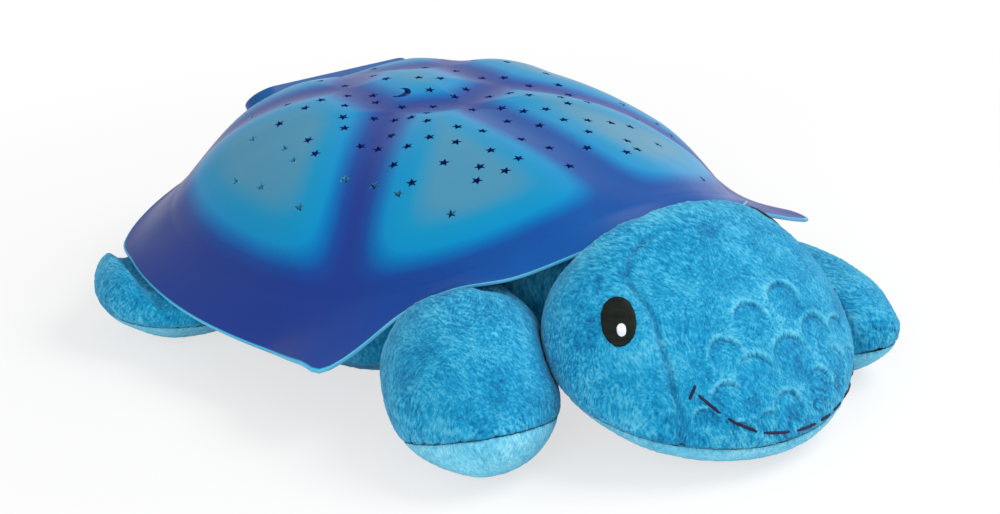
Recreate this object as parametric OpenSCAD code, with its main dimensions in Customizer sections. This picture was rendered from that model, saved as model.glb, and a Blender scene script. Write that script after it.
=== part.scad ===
// Star night light: a soft plush turtle that carries a hard translucent shell with star holes.
// +X points to the head, +Y to the turtle's left, +Z up; z = 0 is the floor it lies on.

/* [Shell] */
// Distance of the dome's centre behind the origin
shell_back = 32; // [28:1:36]
// Height of the dome's crown before its scutes swell
dome_top = 91.5; // [88:0.5:95]
// Radius of the dome's foot at the sides
foot_r = 123; // [120:1:125]
// Height of the dome's foot at the sides
foot_z = 42; // [40:0.5:44]
// Radius of the brim's edge at the sides
brim_r = 146; // [142:1:150]
// Height of the brim's edge at the sides
brim_z = 25; // [23:0.5:27]
// Wall of the dome
shell_wall = 2.4; // [2:0.2:3]
// Wall at the brim's edge
edge_wall = 1.6; // [1.2:0.2:2]
// How far each scute swells out of the dome
scute_bulge = 4.2; // [3:0.1:5]
// Width over which a seam sinks between two scutes
seam_w = 15; // [12:1:18]

/* [Star holes] */
// Outer radius of a star
star_r = 2.7; // [2.4:0.1:3]
// Inner radius of a star, between its points
star_inner_r = 1.2; // [1:0.05:1.35]
// Radius of the crescent moon
moon_r = 4.5; // [3.5:0.5:6]

/* [Plush] */
// Radius of the body where the head and the front flippers meet it
body_front_r = 100; // [98:1:102]
// Radius of the body at its rear
body_rear_r = 117; // [114:1:119]
// Clearance between two soft pieces, or a soft piece and a hard one
soft_gap = 0.3; // [0.2:0.05:0.5]
// Length of the head's half, along the turtle
head_l = 61; // [58:1:65]
// Half width of the head
head_w = 69; // [64:1:70]
// Half thickness of the head across its tilt
head_t = 34; // [32:1:37]
// Tilt of the head, nose down
head_tilt = 25; // [18:1:30]
// Distance from the neck to the head's centre
head_reach = 50; // [46:1:54]
// Thickness of the belly cloth
belly_t = 3; // [2:0.5:3]
// Radius of the belly cloth
belly_r = 76; // [72:1:77]
// Width of an eye
eye_w = 14; // [11:1:16]
// Height of an eye
eye_h = 21; // [17:1:23]

/* [Base tray] */
// Radius of the tray
tray_r = 84; // [80:1:85]
// Height of the deck's underside
deck_z = 34; // [33:0.5:35]
// Thickness of the deck
deck_t = 2.4; // [2:0.2:3]
// Wall of the battery bay and of the tray's rim
bay_wall = 2; // [1.6:0.2:2.4]
// Radius at which the shell's bosses stand
boss_ring_r = 74; // [70:1:76]
// Outer radius of a boss
boss_r = 4; // [3.6:0.2:5]
// Radius of a self-tapping screw's shank
screw_r = 1.25; // [1:0.05:1.4]
// Radius of a screw's head
screw_head_r = 2.9; // [2.5:0.1:3.2]

/* [Batteries] */
// Radius of a cell
cell_r = 7.25; // [6.9:0.05:7.25]
// Length of a cell's can
cell_l = 49.2; // [47:0.2:50]
// Height of a cell's positive cap
cell_cap = 1.3; // [1:0.1:1.5]
// Thickness of the battery door
door_t = 2; // [1.6:0.2:2.4]

/* [Lamp] */
// Radius of the light board
light_board_r = 22; // [20:1:26]
// Thickness of a circuit board
board_t = 1.6; // [1:0.2:2]
// Height of the posts under the light board
post_h = 5; // [4:0.5:8]
// Radius of a light-emitting diode
led_r = 2.5; // [1.5:0.5:2.5]
// Height of the lamp's cup
cup_h = 9; // [7:0.5:12]

/* [Buttons] */
// Width of the button panel, across the shell
panel_w = 90; // [86:1:94]
// Depth of the button panel, down the shell
panel_d = 22; // [20:1:24]
// Distance of the button panel behind the dome's centre
panel_back = 115.5; // [114:0.5:117]
// Tilt of the button panel
panel_tilt = 45; // [43:1:46]
// Radius of a button
button_r = 6.4; // [5.5:0.1:7]
// Distance between two buttons
button_pitch = 30; // [28:1:31]
// Travel of a button
button_travel = 1.2; // [0.8:0.1:1.4]
// Height that a button stands proud of its panel
button_proud = 2; // [1.6:0.1:2.6]
// Running clearance round a moving piece
run_gap = 0.08; // [0.04:0.01:0.1]

/* [Hidden] */

$fn = 48;
shell_x = -shell_back;
eps = 0.01;

// ---------- the shell's form ----------
// Azimuth from the head, then edge radius, edge height, foot radius, foot height (each added to
// the side's), the slope at the foot, the slope at the edge and the power of the dome's curve.
STATIONS = [
    [0,   -28, 51, -15, 39, 25, -10, 2.7],
    [16,  -27, 45, -14, 35, 30, -5,  2.6],
    [30,  -26, 37, -13, 26, 40, 0,   2.4],
    [42,  -26, 32, -12, 17, 45, 0,   2.4],
    [52,  -24, 20, -11, 10, 45, 5,   2.5],
    [60,  6,   7,  -9,  5,  45, 15,  2.7],
    [65,  3,   6,  -8,  3,  50, 25,  2.8],
    [76,  -8,  1,  -4,  1,  54, 35,  2.8],
    [95,  -4,  2,  0,   0,  56, 45,  2.8],
    [118, 7,   5,  9,   2,  56, 35,  3],
    [128, 12,  4,  12,  4,  56, 25,  3.5],
    [150, 3,   12, 14,  6,  55, 10,  4.6],
    [180, -4,  18, 9,   8,  50, 5,   4.4]];
LAST = len(STATIONS) - 1;
function row(i) = [for (k = [1:7]) STATIONS[i][k]];
function slope_at(i) = (i == 0 || i == LAST) ? 0 * row(0)
    : (row(i + 1) - row(i - 1)) / (STATIONS[i + 1][0] - STATIONS[i - 1][0]);
function folded(az) = abs(((az + 540) % 360) - 180);
function segment(az, i = 0) = (i >= LAST - 1 || az < STATIONS[i + 1][0]) ? i : segment(az, i + 1);
function h00(s) = 2 * s^3 - 3 * s^2 + 1;
function h10(s) = s^3 - 2 * s^2 + s;
function h01(s) = 3 * s^2 - 2 * s^3;
function h11(s) = s^3 - s^2;
function station(az) = let (a = folded(az), i = segment(a), w = STATIONS[i + 1][0] - STATIONS[i][0],
        s = (a - STATIONS[i][0]) / w)
    h00(s) * row(i) + h10(s) * w * slope_at(i) + h01(s) * row(i + 1) + h11(s) * w * slope_at(i + 1);
function edge_r_at(az) = brim_r + station(az)[0];
function edge_z_at(az) = brim_z + station(az)[1];
function foot_r_at(az) = foot_r + station(az)[2];
function foot_z_at(az) = foot_z + station(az)[3];

// The seams between scutes, in plan from the dome's centre, on the right side; the left mirrors them.
SEAMS = [[[-8, 0], [-22, -30]], [[-22, -30], [-62, -28]], [[-62, -28], [-86, 0]], [[-8, 0], [140, 0]],
    [[-22, -30], [60, -118]], [[-62, -28], [-110, -95]]];
function seam_reach(p, s) = let (ab = s[1] - s[0], t = max(0, min(1, ((p - s[0]) * ab) / (ab * ab))))
    norm(p - s[0] - t * ab);
function seam_distance(p) = min([for (s = SEAMS) seam_reach([p[0], -abs(p[1])], s)]);

// A point of the profile at azimuth az: t from 0 to 1 is the dome, and 1 to 2 is the brim.
function dome_rz(q, t) = [(foot_r + q[2]) * t,
    foot_z + q[3] + (dome_top - foot_z - q[3]) * (1 - t^q[6])];
function brim_rz(q, s) = let (w = brim_r + q[0] - foot_r - q[2])
    [foot_r + q[2] + w * s, h00(s) * (foot_z + q[3]) - h10(s) * 0.6 * w * tan(q[4])
        + h01(s) * (brim_z + q[1]) - h11(s) * 0.6 * w * tan(q[5])];
function profile(az, t) = let (q = station(az)) t <= 1 ? dome_rz(q, t) : brim_rz(q, t - 1);
function fade(t) = let (f = max(0, min(1, (1.04 - t) / 0.25))) f * f * (3 - 2 * f);
function swell(az, t) = let (r = profile(az, t)[0], d = seam_distance([r * cos(az), r * sin(az)]))
    scute_bulge * (1 - exp(-(d / seam_w)^2)) * fade(t);
function lean(t) = let (up = max(0.2, min(1, 1.15 - 0.8 * t))) [sqrt(1 - up^2), up];
function outer_rz(az, t) = profile(az, t) + swell(az, t) * lean(min(t, 1.3));
function slope_normal(az, t) = let (a = outer_rz(az, max(t - 0.03, 0)), b = outer_rz(az, min(t + 0.03, 2)),
        d = b - a) [-d[1], d[0]] / norm(d);
function wall_at(t) = t <= 1 ? shell_wall : shell_wall + (edge_wall - shell_wall) * (t - 1);
function inner_rz(az, t) = outer_rz(az, t) - wall_at(t) * slope_normal(az, t);
function around(az, rz) = [rz[0] * cos(az), rz[0] * sin(az), rz[1]];
// Height of the brim's or dome's underside over a point at radius r, for the soft pieces below it.
// Beyond the brim's edge it climbs steeply, so that a soft piece may rise there.
roof_gap = 1.5;
edge_gap = 5;
ROOF_CLIMB = 3;
function roof(az, r) = let (q = station(az), fr = foot_r + q[2], er = brim_r + q[0],
        z = r < fr ? dome_rz(q, r / fr)[1] : brim_rz(q, min(1, (r - fr) / (er - fr)))[1])
    z - 1.4 * shell_wall - roof_gap + ROOF_CLIMB * max(0, r - er - edge_gap);

SHELL_TURNS = 72;
DOME_RINGS = [0.09, 0.18, 0.27, 0.36, 0.45, 0.54, 0.62, 0.7, 0.78, 0.85, 0.91, 0.96, 1];
BRIM_RINGS = [1.15, 1.35, 1.6, 1.8, 2];
SHELL_RINGS = concat(DOME_RINGS, BRIM_RINGS);

// A closed solid from rings of equal count: bottom and top are closed by a fan to a centre point.
function ring_faces(n, rings, lo, hi) = concat(
    [for (k = [0:rings - 2], i = [0:n - 1]) let (a = k * n + i, b = k * n + (i + 1) % n)
        each [[a, b, b + n], [a, b + n, a + n]]],
    [for (i = [0:n - 1]) [lo, (i + 1) % n, i]],
    [for (i = [0:n - 1]) let (s = (rings - 1) * n) [hi, s + i, s + (i + 1) % n]]);
module stack(rings, lo, hi) {
    n = len(rings[0]);
    m = len(rings);
    polyhedron(points = concat([for (r = rings) each r], [lo, hi]),
        faces = ring_faces(n, m, n * m, n * m + 1));
}

module shell_skin() {
    outside = [for (t = SHELL_RINGS) [for (i = [0:SHELL_TURNS - 1]) let (az = i * 360 / SHELL_TURNS)
        around(az, outer_rz(az, t))]];
    inside = [for (k = [len(SHELL_RINGS) - 1:-1:0]) [for (i = [0:SHELL_TURNS - 1])
        let (az = i * 360 / SHELL_TURNS) around(az, inner_rz(az, SHELL_RINGS[k]))]];
    crown = dome_top + scute_bulge;
    stack(concat(outside, inside), [0, 0, crown], [0, 0, crown - shell_wall]);
}

// Places a cutter on the shell at plan point p, along the shell's normal.
module on_shell(p) {
    az = atan2(p[1], p[0]);
    t = norm(p) / foot_r_at(az);
    rz = outer_rz(az, t);
    n = slope_normal(az, t);
    translate(around(az, rz)) rotate([0, 0, az]) rotate([0, atan2(n[0], n[1]), 0]) children();
}
module star(turn) {
    points = [for (k = [0:9]) let (r = k % 2 == 0 ? star_r : star_inner_r, a = turn + 36 * k)
        [r * cos(a), r * sin(a)]];
    linear_extrude(3.5 * shell_wall, center = true) polygon(points);
}
// Where the star holes lie, in plan from the dome's centre.
STARS = [
    [-25, -68], [-31, -76], [-20, -79], [-14, -72], [-39, -96], [-22, -94], [5, -93], [-4, -58], [4, -55],
    [9, -75], [23, -70], [21, -58], [36, -59], [36, -66], [16, -47], [0, -45], [-20, -54], [-28, -49],
    [-38, -42], [-51, -33], [-20, -40], [-12, -35], [-6, -30], [-43, -25], [-35, -29], [-22, -24],
    [-52, -10], [-68, -7], [-67, -24], [-83, -25], [-49, -54], [-51, -45], [-49, -67], [-54, -78],
    [-66, -54], [-87, -62], [36, -43], [55, -41], [49, -35], [43, -25], [59, -30], [56, -21], [28, -31],
    [18, -37], [61, -58], [73, -7], [55, -3], [42, -8], [27, -17], [18, -23], [34, 8], [63, 10], [50, 20],
    [-41, 0], [-35, 7], [-34, 29], [-28, 37], [-27, -5], [-22, 11], [-17, 1], [-9, 14], [-4, 22], [6, 24],
    [-16, 42], [12, 36], [-2, 54], [20, 33], [18, 46], [-14, -13], [0, -2], [8, 8], [18, 12], [22, 20],
    [35, 19], [38, 29], [21, 1], [-13, 56], [5, -29], [-5, -23], [40, 40], [42, 49], [60, 32], [69, 30],
    [72, 22], [20, 76], [58, 51], [48, 79], [17, 89], [4, 79], [-50, 26], [-66, 20], [-78, 40], [-60, 44],
    [-46, 52], [-28, 60], [-52, 70], [-68, 62], [-34, 80], [-20, 92], [24, 92], [-52, 88], [84, 56],
    [12, 100], [-92, 10], [-90, -10]];
MOON = [-33, -16];
function star_turn(i) = 47 * i % 72;

// ---------- the button panel's place ----------
panel_z = dome_top - 22;
module at_panel() {
    translate([shell_x - panel_back, 0, panel_z]) rotate([0, -panel_tilt, 0]) children();
}
panel_top = 4;
panel_plate = 2.1;
panel_skirt = 7;
panel_fit = 0.2;
under_plate = panel_top - panel_plate;
flange_t = 1.2;
flange_r = button_r + 1.6;
key_z = -5;
switch_h = 3.5;
button_board_z = key_z - switch_h;
function button_y(i) = (i - 1) * button_pitch;
module stadium(w, d, h) {
    linear_extrude(h) union() {
        square([w - d, d], center = true);
        for (s = [-1, 1]) translate([s * (w - d) / 2, 0]) circle(d / 2);
    }
}
function in_panel(p) = [shell_x - panel_back + p[0] * cos(panel_tilt) - p[2] * sin(panel_tilt), p[1],
    panel_z + p[0] * sin(panel_tilt) + p[2] * cos(panel_tilt)];
// The panel's outline lies across the shell, along Y.
module panel_block(grow, lo, hi) {
    translate([0, 0, lo]) rotate([0, 0, 90]) stadium(panel_w + 2 * grow, panel_d + 2 * grow, hi - lo);
}

// ---------- shell ----------
boss_angles = [45, 135, 225, 315];
boss_seat = deck_z + deck_t;
boss_bore = 12;
module boss_at(az) {
    t = boss_ring_r / foot_r_at(az);
    rz = inner_rz(az, t);
    n = slope_normal(az, t);
    difference() {
        translate([boss_ring_r * cos(az), boss_ring_r * sin(az), boss_seat])
            cylinder(r = boss_r, h = rz[1] - boss_seat + boss_r * 1.6);
        translate(around(az, rz + 0.4 * shell_wall * n)) rotate([0, 0, az])
            rotate([0, atan2(n[0], n[1]), 0]) translate([-20, -20, 0]) cube([40, 40, 20]);
    }
}
module shell() {
    color("#2c4f9e", 0.9) translate([shell_x, 0, 0]) difference() {
        union() {
            shell_skin();
            for (az = boss_angles) boss_at(az);
        }
        for (i = [0:len(STARS) - 1]) on_shell(STARS[i]) star(star_turn(i));
        on_shell(MOON) linear_extrude(4 * shell_wall, center = true) difference() {
            circle(moon_r);
            translate([moon_r * 0.45, 0]) circle(moon_r * 0.8);
        }
        for (az = boss_angles)
            translate([boss_ring_r * cos(az), boss_ring_r * sin(az), boss_seat - eps])
                cylinder(r = screw_r + run_gap, h = boss_bore);
        translate([-shell_x, 0, 0]) at_panel() panel_block(panel_fit, -12, 12);
    }
}

// ---------- button panel ----------
skirt_wall = 1.6;
post_y = button_pitch / 2;
panel_post_r = 2.4;
ear_l = 2.9;
ear_w = 8;
ear_t = 1.6;
ear_z = -7.4;
ear_root = 2;
module button_panel() {
    color("#2f6fb5") at_panel() difference() {
        union() {
            difference() {
                panel_block(0, -panel_skirt, panel_top);
                panel_block(-skirt_wall, -panel_skirt - 1, under_plate);
            }
            for (s = [-1, 1]) translate([0, s * post_y, button_board_z])
                cylinder(r = panel_post_r, h = under_plate - button_board_z + eps);
            for (s = [-1, 1]) translate([-ear_w / 2, s * (panel_w / 2 - skirt_wall) - skirt_wall / 2, ear_z])
                cube([ear_w, skirt_wall, under_plate - ear_z]);
            for (s = [-1, 1]) translate([-ear_w / 2,
                s * (panel_w / 2 + (ear_l - ear_root) / 2) - (ear_l + ear_root) / 2, ear_z])
                    cube([ear_w, ear_l + ear_root, ear_t]);
        }
        for (i = [0:2]) translate([0, button_y(i), under_plate - 1])
            cylinder(r = button_r + run_gap, h = panel_plate + 2);
        for (s = [-1, 1]) translate([0, s * post_y, button_board_z - eps])
            cylinder(r = screw_r + run_gap, h = 8);
    }
}
module button_cap(i, tint) {
    color(tint) at_panel() translate([0, button_y(i), 0]) {
        translate([0, 0, under_plate - flange_t - 0.05]) cylinder(r = flange_r, h = flange_t);
        translate([0, 0, under_plate - flange_t - 0.05])
            cylinder(r = button_r, h = panel_plate + button_proud + flange_t + 0.05 - 0.8);
        translate([0, 0, panel_top + button_proud - 0.8 - eps])
            cylinder(r1 = button_r, r2 = button_r - 0.8, h = 0.8 + eps);
        translate([0, 0, key_z + 2]) cylinder(r = 2, h = under_plate - flange_t - key_z - 2);
    }
}
module blue_button() { button_cap(2, "#2a6fd6"); }
module green_button() { button_cap(1, "#35b56a"); }
module amber_button() { button_cap(0, "#f0a63a"); }
plunger_r = 1.75;
module plunger(i) {
    color("#2b2b2e") at_panel() translate([0, button_y(i), key_z - 0.6])
        cylinder(r = plunger_r, h = 2.6);
}
module blue_plunger() { plunger(2); }
module green_plunger() { plunger(1); }
module amber_plunger() { plunger(0); }
module key_switches() {
    color("#c9ccd2") at_panel() for (i = [0:2]) translate([0, button_y(i), button_board_z])
        difference() {
            translate([-3, -3, 0]) cube([6, 6, switch_h]);
            translate([0, 0, switch_h - button_travel - 1])
                cylinder(r = plunger_r + run_gap, h = button_travel + 2);
        }
}
board_w = 2 * button_pitch + 14;
board_d = 14;
module button_board() {
    color("#1f7a4a") at_panel() difference() {
        translate([-board_d / 2, -board_w / 2, button_board_z - board_t])
            cube([board_d, board_w, board_t]);
        for (s = [-1, 1]) translate([0, s * post_y, button_board_z - board_t - 1])
            cylinder(r = screw_r + 0.2, h = board_t + 2);
    }
}
screw_head_h = 1.6;
module screw(length) {
    translate([0, 0, -screw_head_h]) cylinder(r = screw_head_r, h = screw_head_h);
    translate([0, 0, -eps]) cylinder(r = screw_r, h = length);
}
module button_board_screws() {
    color("silver") at_panel() for (s = [-1, 1]) translate([0, s * post_y, button_board_z - board_t])
        screw(board_t + 6);
}

// ---------- swept wires ----------
// A tube along points: each ring stands square to the path, with one side turned to "up".
function unit(v) = v / norm(v);
function path_dir(p, i) = unit(p[min(i + 1, len(p) - 1)] - p[max(i - 1, 0)]);
function ring_about(c, d, up, r, sides) = let (u = unit(cross(up, d)), v = cross(d, u))
    [for (k = [0:sides - 1]) c + r * (u * cos(360 * k / sides) + v * sin(360 * k / sides))];
module tube(p, r, up, sides = 8) {
    stack([for (i = [len(p) - 1:-1:0]) ring_about(p[i], path_dir(p, i), up, r, sides)],
        p[len(p) - 1], p[0]);
}
function bezier(a, b, c, d, n) = [for (k = [0:n]) let (s = k / n)
    a * (1 - s)^3 + 3 * b * s * (1 - s)^2 + 3 * c * s^2 * (1 - s) + d * s^3];

// ---------- base tray ----------
tray_bottom = 24;
bay_top = tray_bottom;
bay_floor = 5;
door_top = bay_floor + door_t;
pillar_r = 3.2;
plate_t = 0.5;
contact_gap = 3.2;
cell_pitch = 2 * cell_r + 0.4;
cell_z = bay_top - 0.25 - cell_r;
cell_mid_x = shell_x - 1;
// The bay holds the cells, a contact plate at each end, and the door's pillar behind the rear plates.
cell_reach = cell_l / 2 + cell_cap + contact_gap + plate_t;
partition_t = 1.4;
bay_front = cell_mid_x + cell_reach;
pillar_x = cell_mid_x - cell_reach - 0.2 - pillar_r;
bay_rear = pillar_x - pillar_r - 0.8;
bay_side = 1.5 * cell_pitch + 0.65;
module bay_box(grow, lo, hi) {
    translate([bay_rear - grow, -bay_side - grow, lo])
        cube([bay_front - bay_rear + 2 * grow, 2 * (bay_side + grow), hi - lo]);
}
lead_hole_x = shell_x + 40;
post_angles = [90, 210, 330];
post_ring = 17;
post_r = 3;
module base_tray() {
    color("#e9ecef") difference() {
        union() {
            translate([shell_x, 0, deck_z]) cylinder(r = tray_r, h = deck_t, $fn = 96);
            translate([shell_x, 0, tray_bottom]) difference() {
                cylinder(r = tray_r, h = deck_z - tray_bottom + eps, $fn = 96);
                translate([0, 0, -1])
                    cylinder(r = tray_r - bay_wall, h = deck_z - tray_bottom + 1, $fn = 96);
            }
            difference() {
                bay_box(bay_wall, bay_floor, deck_z + eps);
                bay_box(0, bay_floor - 1, bay_top);
                bay_box(0, bay_top + bay_wall, deck_z);
            }
            translate([pillar_x, 0, door_top]) cylinder(r = pillar_r, h = bay_top - door_top + eps);
            translate([cell_mid_x - cell_reach - partition_t, -bay_side - eps, door_top])
                cube([partition_t, 2 * (bay_side + eps), bay_top - door_top + eps]);
            for (a = post_angles)
                translate([shell_x + post_ring * cos(a), post_ring * sin(a), deck_z + deck_t - eps])
                    cylinder(r = post_r, h = post_h + eps);
        }
        translate([pillar_x, 0, door_top - 1]) cylinder(r = screw_r + run_gap, h = 11);
        for (a = boss_angles)
            translate([shell_x + boss_ring_r * cos(a), boss_ring_r * sin(a), deck_z - 1])
                cylinder(r = screw_r + 0.3, h = deck_t + 2);
        for (a = post_angles) translate([shell_x + post_ring * cos(a), post_ring * sin(a), deck_z - 1])
            cylinder(r = screw_r + run_gap, h = deck_t + post_h + 2);
        translate([lead_hole_x, 0, deck_z - 1]) cylinder(r = 4, h = deck_t + 2);
    }
}
module shell_screws() {
    color("silver") for (a = boss_angles)
        translate([shell_x + boss_ring_r * cos(a), boss_ring_r * sin(a), deck_z]) screw(deck_t + 9);
}

// ---------- lamp ----------
light_board_z = deck_z + deck_t + post_h;
led_ring = 5.5;
led_h = 6;
module light_board() {
    color("#1f7a4a") translate([shell_x, 0, light_board_z]) difference() {
        cylinder(r = light_board_r, h = board_t);
        for (a = post_angles) translate([post_ring * cos(a), post_ring * sin(a), -1])
            cylinder(r = screw_r + 0.2, h = board_t + 2);
    }
}
module light_board_screws() {
    color("silver") for (a = post_angles)
        translate([shell_x + post_ring * cos(a), post_ring * sin(a), light_board_z + board_t]) mirror([0, 0, 1])
            screw(board_t + 5);
}
module led(a, tint) {
    color(tint) translate([shell_x + led_ring * cos(a), led_ring * sin(a), light_board_z + board_t]) {
        cylinder(r = led_r + 0.35, h = 1);
        cylinder(r = led_r, h = led_h);
        translate([0, 0, led_h]) intersection() {
            sphere(led_r);
            translate([0, 0, led_r - eps]) cube(2 * led_r, center = true);
        }
    }
}
module blue_led() { led(60, "#6f9df0"); }
module green_led() { led(180, "#79d69a"); }
module amber_led() { led(300, "#f2b860"); }
cup_r = 10;
cup_foot = 1.6;
cup_lip = 1.2;
cup_flare = 3.6;
module lamp_cup() {
    color("#17181a") translate([shell_x, 0, light_board_z + board_t]) rotate_extrude($fn = 72)
        polygon([[cup_r, 0], [cup_r + cup_foot, 0], [cup_r + cup_flare, cup_h],
            [cup_r + cup_flare - cup_lip, cup_h]]);
}

// ---------- batteries ----------
door_gap = 0.25;
module battery_door() {
    color("#e9ecef") difference() {
        union() {
            bay_box(-door_gap, bay_floor, door_top - eps);
            for (s = [-1, 1]) translate([cell_mid_x - 12, s * 7.5 - 0.7, door_top - 2 * eps])
                cube([24, 1.4, 2.6]);
        }
        translate([pillar_x, 0, bay_floor - 1]) cylinder(r = screw_r + 0.25, h = door_t + 2);
        for (k = [0:4]) translate([cell_mid_x + 14 + 2.6 * k, -9, bay_floor - eps]) cube([1, 18, 0.6]);
    }
}
module door_screw() {
    color("silver") translate([pillar_x, 0, bay_floor]) screw(door_t + 8.5);
}
module cell(i, turned, tint) {
    color(tint) translate([cell_mid_x, i * cell_pitch, cell_z]) rotate([0, turned ? -90 : 90, 0]) {
        translate([0, 0, -cell_l / 2]) cylinder(r = cell_r, h = cell_l);
        cylinder(r = 2.7, h = cell_l / 2 + cell_cap);
    }
}
module cell_left() { cell(1, false, "#3d4b57"); }
module cell_middle() { cell(0, true, "#3d4b57"); }
module cell_right() { cell(-1, false, "#3d4b57"); }

spring_wire = 0.35;
SPRING_STEPS = 30;
// One coil spring between a plate and a cell's base, its axis along +X.
module coil(reach) {
    points = [for (k = [0:SPRING_STEPS]) let (s = k / SPRING_STEPS, a = 360 * 2.5 * s, r = 4.2 - 1.8 * s)
        [s * reach, r * cos(a), r * sin(a)]];
    tube(points, spring_wire, [1, 0, 0], 6);
}
// A contact plate at one end of the bay; side is 1 at the front and -1 at the rear.
function end_x(side) = cell_mid_x + side * (cell_l / 2 + cell_cap + contact_gap);
module plate(side, lo, hi) {
    translate([end_x(side) - (side > 0 ? 0 : plate_t), lo, cell_z - 5.5]) cube([plate_t, hi - lo, 11]);
}
module dimple(side, i) {
    translate([end_x(side) - side * contact_gap * 0.98, i * cell_pitch, cell_z])
        rotate([0, side * 90, 0]) cylinder(r1 = 2, r2 = 3.2, h = contact_gap * 0.98 + 0.1);
}
coil_seat = spring_wire + 0.05;
module coil_at(side, i) {
    translate([end_x(side) - side * coil_seat, i * cell_pitch, cell_z])
        rotate([0, side > 0 ? 180 : 0, 0]) coil(contact_gap + cell_cap - 2 * coil_seat);
}
module contact_positive() {
    color("#c8b273") { plate(1, cell_pitch - 5, cell_pitch + 5); dimple(1, 1); }
}
module contact_negative() {
    color("#c8b273") { plate(-1, -cell_pitch - 5, -cell_pitch + 5); coil_at(-1, -1); }
}
module contact_link_front() {
    color("#c8b273") { plate(1, -cell_pitch - 5, 5); dimple(1, -1); coil_at(1, 0); }
}
module contact_link_rear() {
    color("#c8b273") { plate(-1, -5, cell_pitch + 5); dimple(-1, 0); coil_at(-1, 1); }
}

// ---------- leads ----------
lead_r = 0.8;
lead_clear = lead_r + 0.1;
module battery_lead() {
    start_x = bay_front + bay_wall + lead_clear;
    under = light_board_z - lead_clear;
    rise = bezier([start_x, 0, 19], [start_x, 0, 25], [lead_hole_x, 0, deck_z - 4],
        [lead_hole_x, 0, deck_z + 2], 12);
    over = bezier([lead_hole_x, 0, deck_z + 2], [lead_hole_x, 0, under],
        [lead_hole_x - 4, 0, under], [shell_x + 19, 0, under], 10);
    color("#b03030") tube(concat(rise, [for (i = [1:len(over) - 1]) over[i]]), lead_r, [0, 1, 0]);
}
module button_lead() {
    below = button_board_z - board_t - lead_clear;
    above = light_board_z + board_t + lead_clear;
    color("#8a8d92") tube(bezier(in_panel([0, 8, below]), in_panel([16, 8, below]),
        [shell_x - 50, 6, above + 2], [shell_x - 19, 4, above], 22), lead_r, [0, 1, 0]);
}

// ---------- soft pieces ----------
BODY_TURNS = 44;
// Azimuths at which the body widens from its front to its side, and from its side to its rear.
WIDEN = [50, 68, 95, 130];
well_r = tray_r + 1.3;
well_z = tray_bottom - soft_gap;
core_r = 48;
function body_r_at(az) = let (a = folded(az), mid = (body_front_r + 2 * body_rear_r) / 3)
    a <= WIDEN[0] ? body_front_r
    : a <= WIDEN[1] ? body_front_r + (mid - body_front_r) * h01((a - WIDEN[0]) / (WIDEN[1] - WIDEN[0]))
    : a <= WIDEN[2] ? mid
    : a <= WIDEN[3] ? mid + (body_rear_r - mid) * h01((a - WIDEN[2]) / (WIDEN[3] - WIDEN[2]))
    : body_rear_r;
function body_profile(az) = let (ro = body_r_at(az), top = foot_z_at(az) - 6, w = ro - well_r)
    [[core_r, belly_t + soft_gap], [ro - 21, belly_t + soft_gap], [ro - 8, 7], [ro - 2, 15], [ro, 25],
        [ro - 0.08 * w, top * 0.75], [ro - 0.3 * w, top - 2], [ro - 0.6 * w, top], [well_r, top - 1],
        [well_r, well_z], [core_r, well_z]];
module plush_body() {
    rings = [for (i = [0:BODY_TURNS - 1]) let (az = i * 360 / BODY_TURNS)
        [for (p = body_profile(az)) around(az, p)]];
    n = len(rings[0]);
    m = BODY_TURNS;
    color("#2aa3d6") translate([shell_x, 0, 0]) polyhedron(points = [for (r = rings) each r],
        faces = [for (k = [0:m - 1], j = [0:n - 1])
            let (a = k * n + j, b = k * n + (j + 1) % n, c = ((k + 1) % m) * n + j,
                d = ((k + 1) % m) * n + (j + 1) % n)
            each [[a, b, c], [b, d, c]]]);
}
window_gap = 2;
module belly_panel() {
    color("#4fa9cf") difference() {
        translate([shell_x, 0, 0]) cylinder(r = belly_r, h = belly_t, $fn = 96);
        bay_box(bay_wall + window_gap, -1, belly_t + 1);
    }
}

// A stuffed form: an ellipsoid of half sizes h between two latitudes, turned, then kept clear of the
// body, the brim and the floor.
function tilted(p, pitch, yaw) = let (x = p[0] * cos(pitch) + p[2] * sin(pitch),
        z = p[2] * cos(pitch) - p[0] * sin(pitch))
    [x * cos(yaw) - p[1] * sin(yaw), x * sin(yaw) + p[1] * cos(yaw), z];
function off_body(p) = let (az = atan2(p[1], p[0]), r = norm([p[0], p[1]]),
        lim = body_r_at(az) + soft_gap, k = r < lim ? lim / r : 1) [p[0] * k, p[1] * k, p[2]];
function soft_min(a, b, w) = let (h = max(0, w - abs(a - b)) / w) min(a, b) - h^2 * w / 4;
// A point below LOW never meets the brim; above it, the height bends over ROOF_BEND under the brim.
LOW = 12;
ROOF_BEND = 7;
function under_brim(p) = let (az = atan2(p[1], p[0]), r = norm([p[0], p[1]]))
    [p[0], p[1], max(0, p[2] < LOW ? p[2] : soft_min(p[2], roof(az, r), ROOF_BEND))];
function form_point(c, h, lon, lat, pitch, yaw) = under_brim(off_body(c + tilted(
    [h[0] * cos(lon) * cos(lat), h[1] * sin(lon) * cos(lat), h[2] * sin(lat)], pitch, yaw)));
module form(c, h, lo, hi, pitch, yaw, turns = 28, bands = 10) {
    rings = [for (k = [0:bands]) let (lat = lo + (hi - lo) * k / bands) [for (i = [0:turns - 1])
        form_point(c, h, i * 360 / turns, max(-86, min(86, lat)), pitch, yaw)]];
    translate([shell_x, 0, 0]) stack([for (k = [bands:-1:0]) rings[k]],
        form_point(c, [h[0] * 0.01, h[1] * 0.01, h[2]], 0, hi, pitch, yaw),
        form_point(c, [h[0] * 0.01, h[1] * 0.01, h[2]], 0, lo, pitch, yaw));
}

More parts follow.
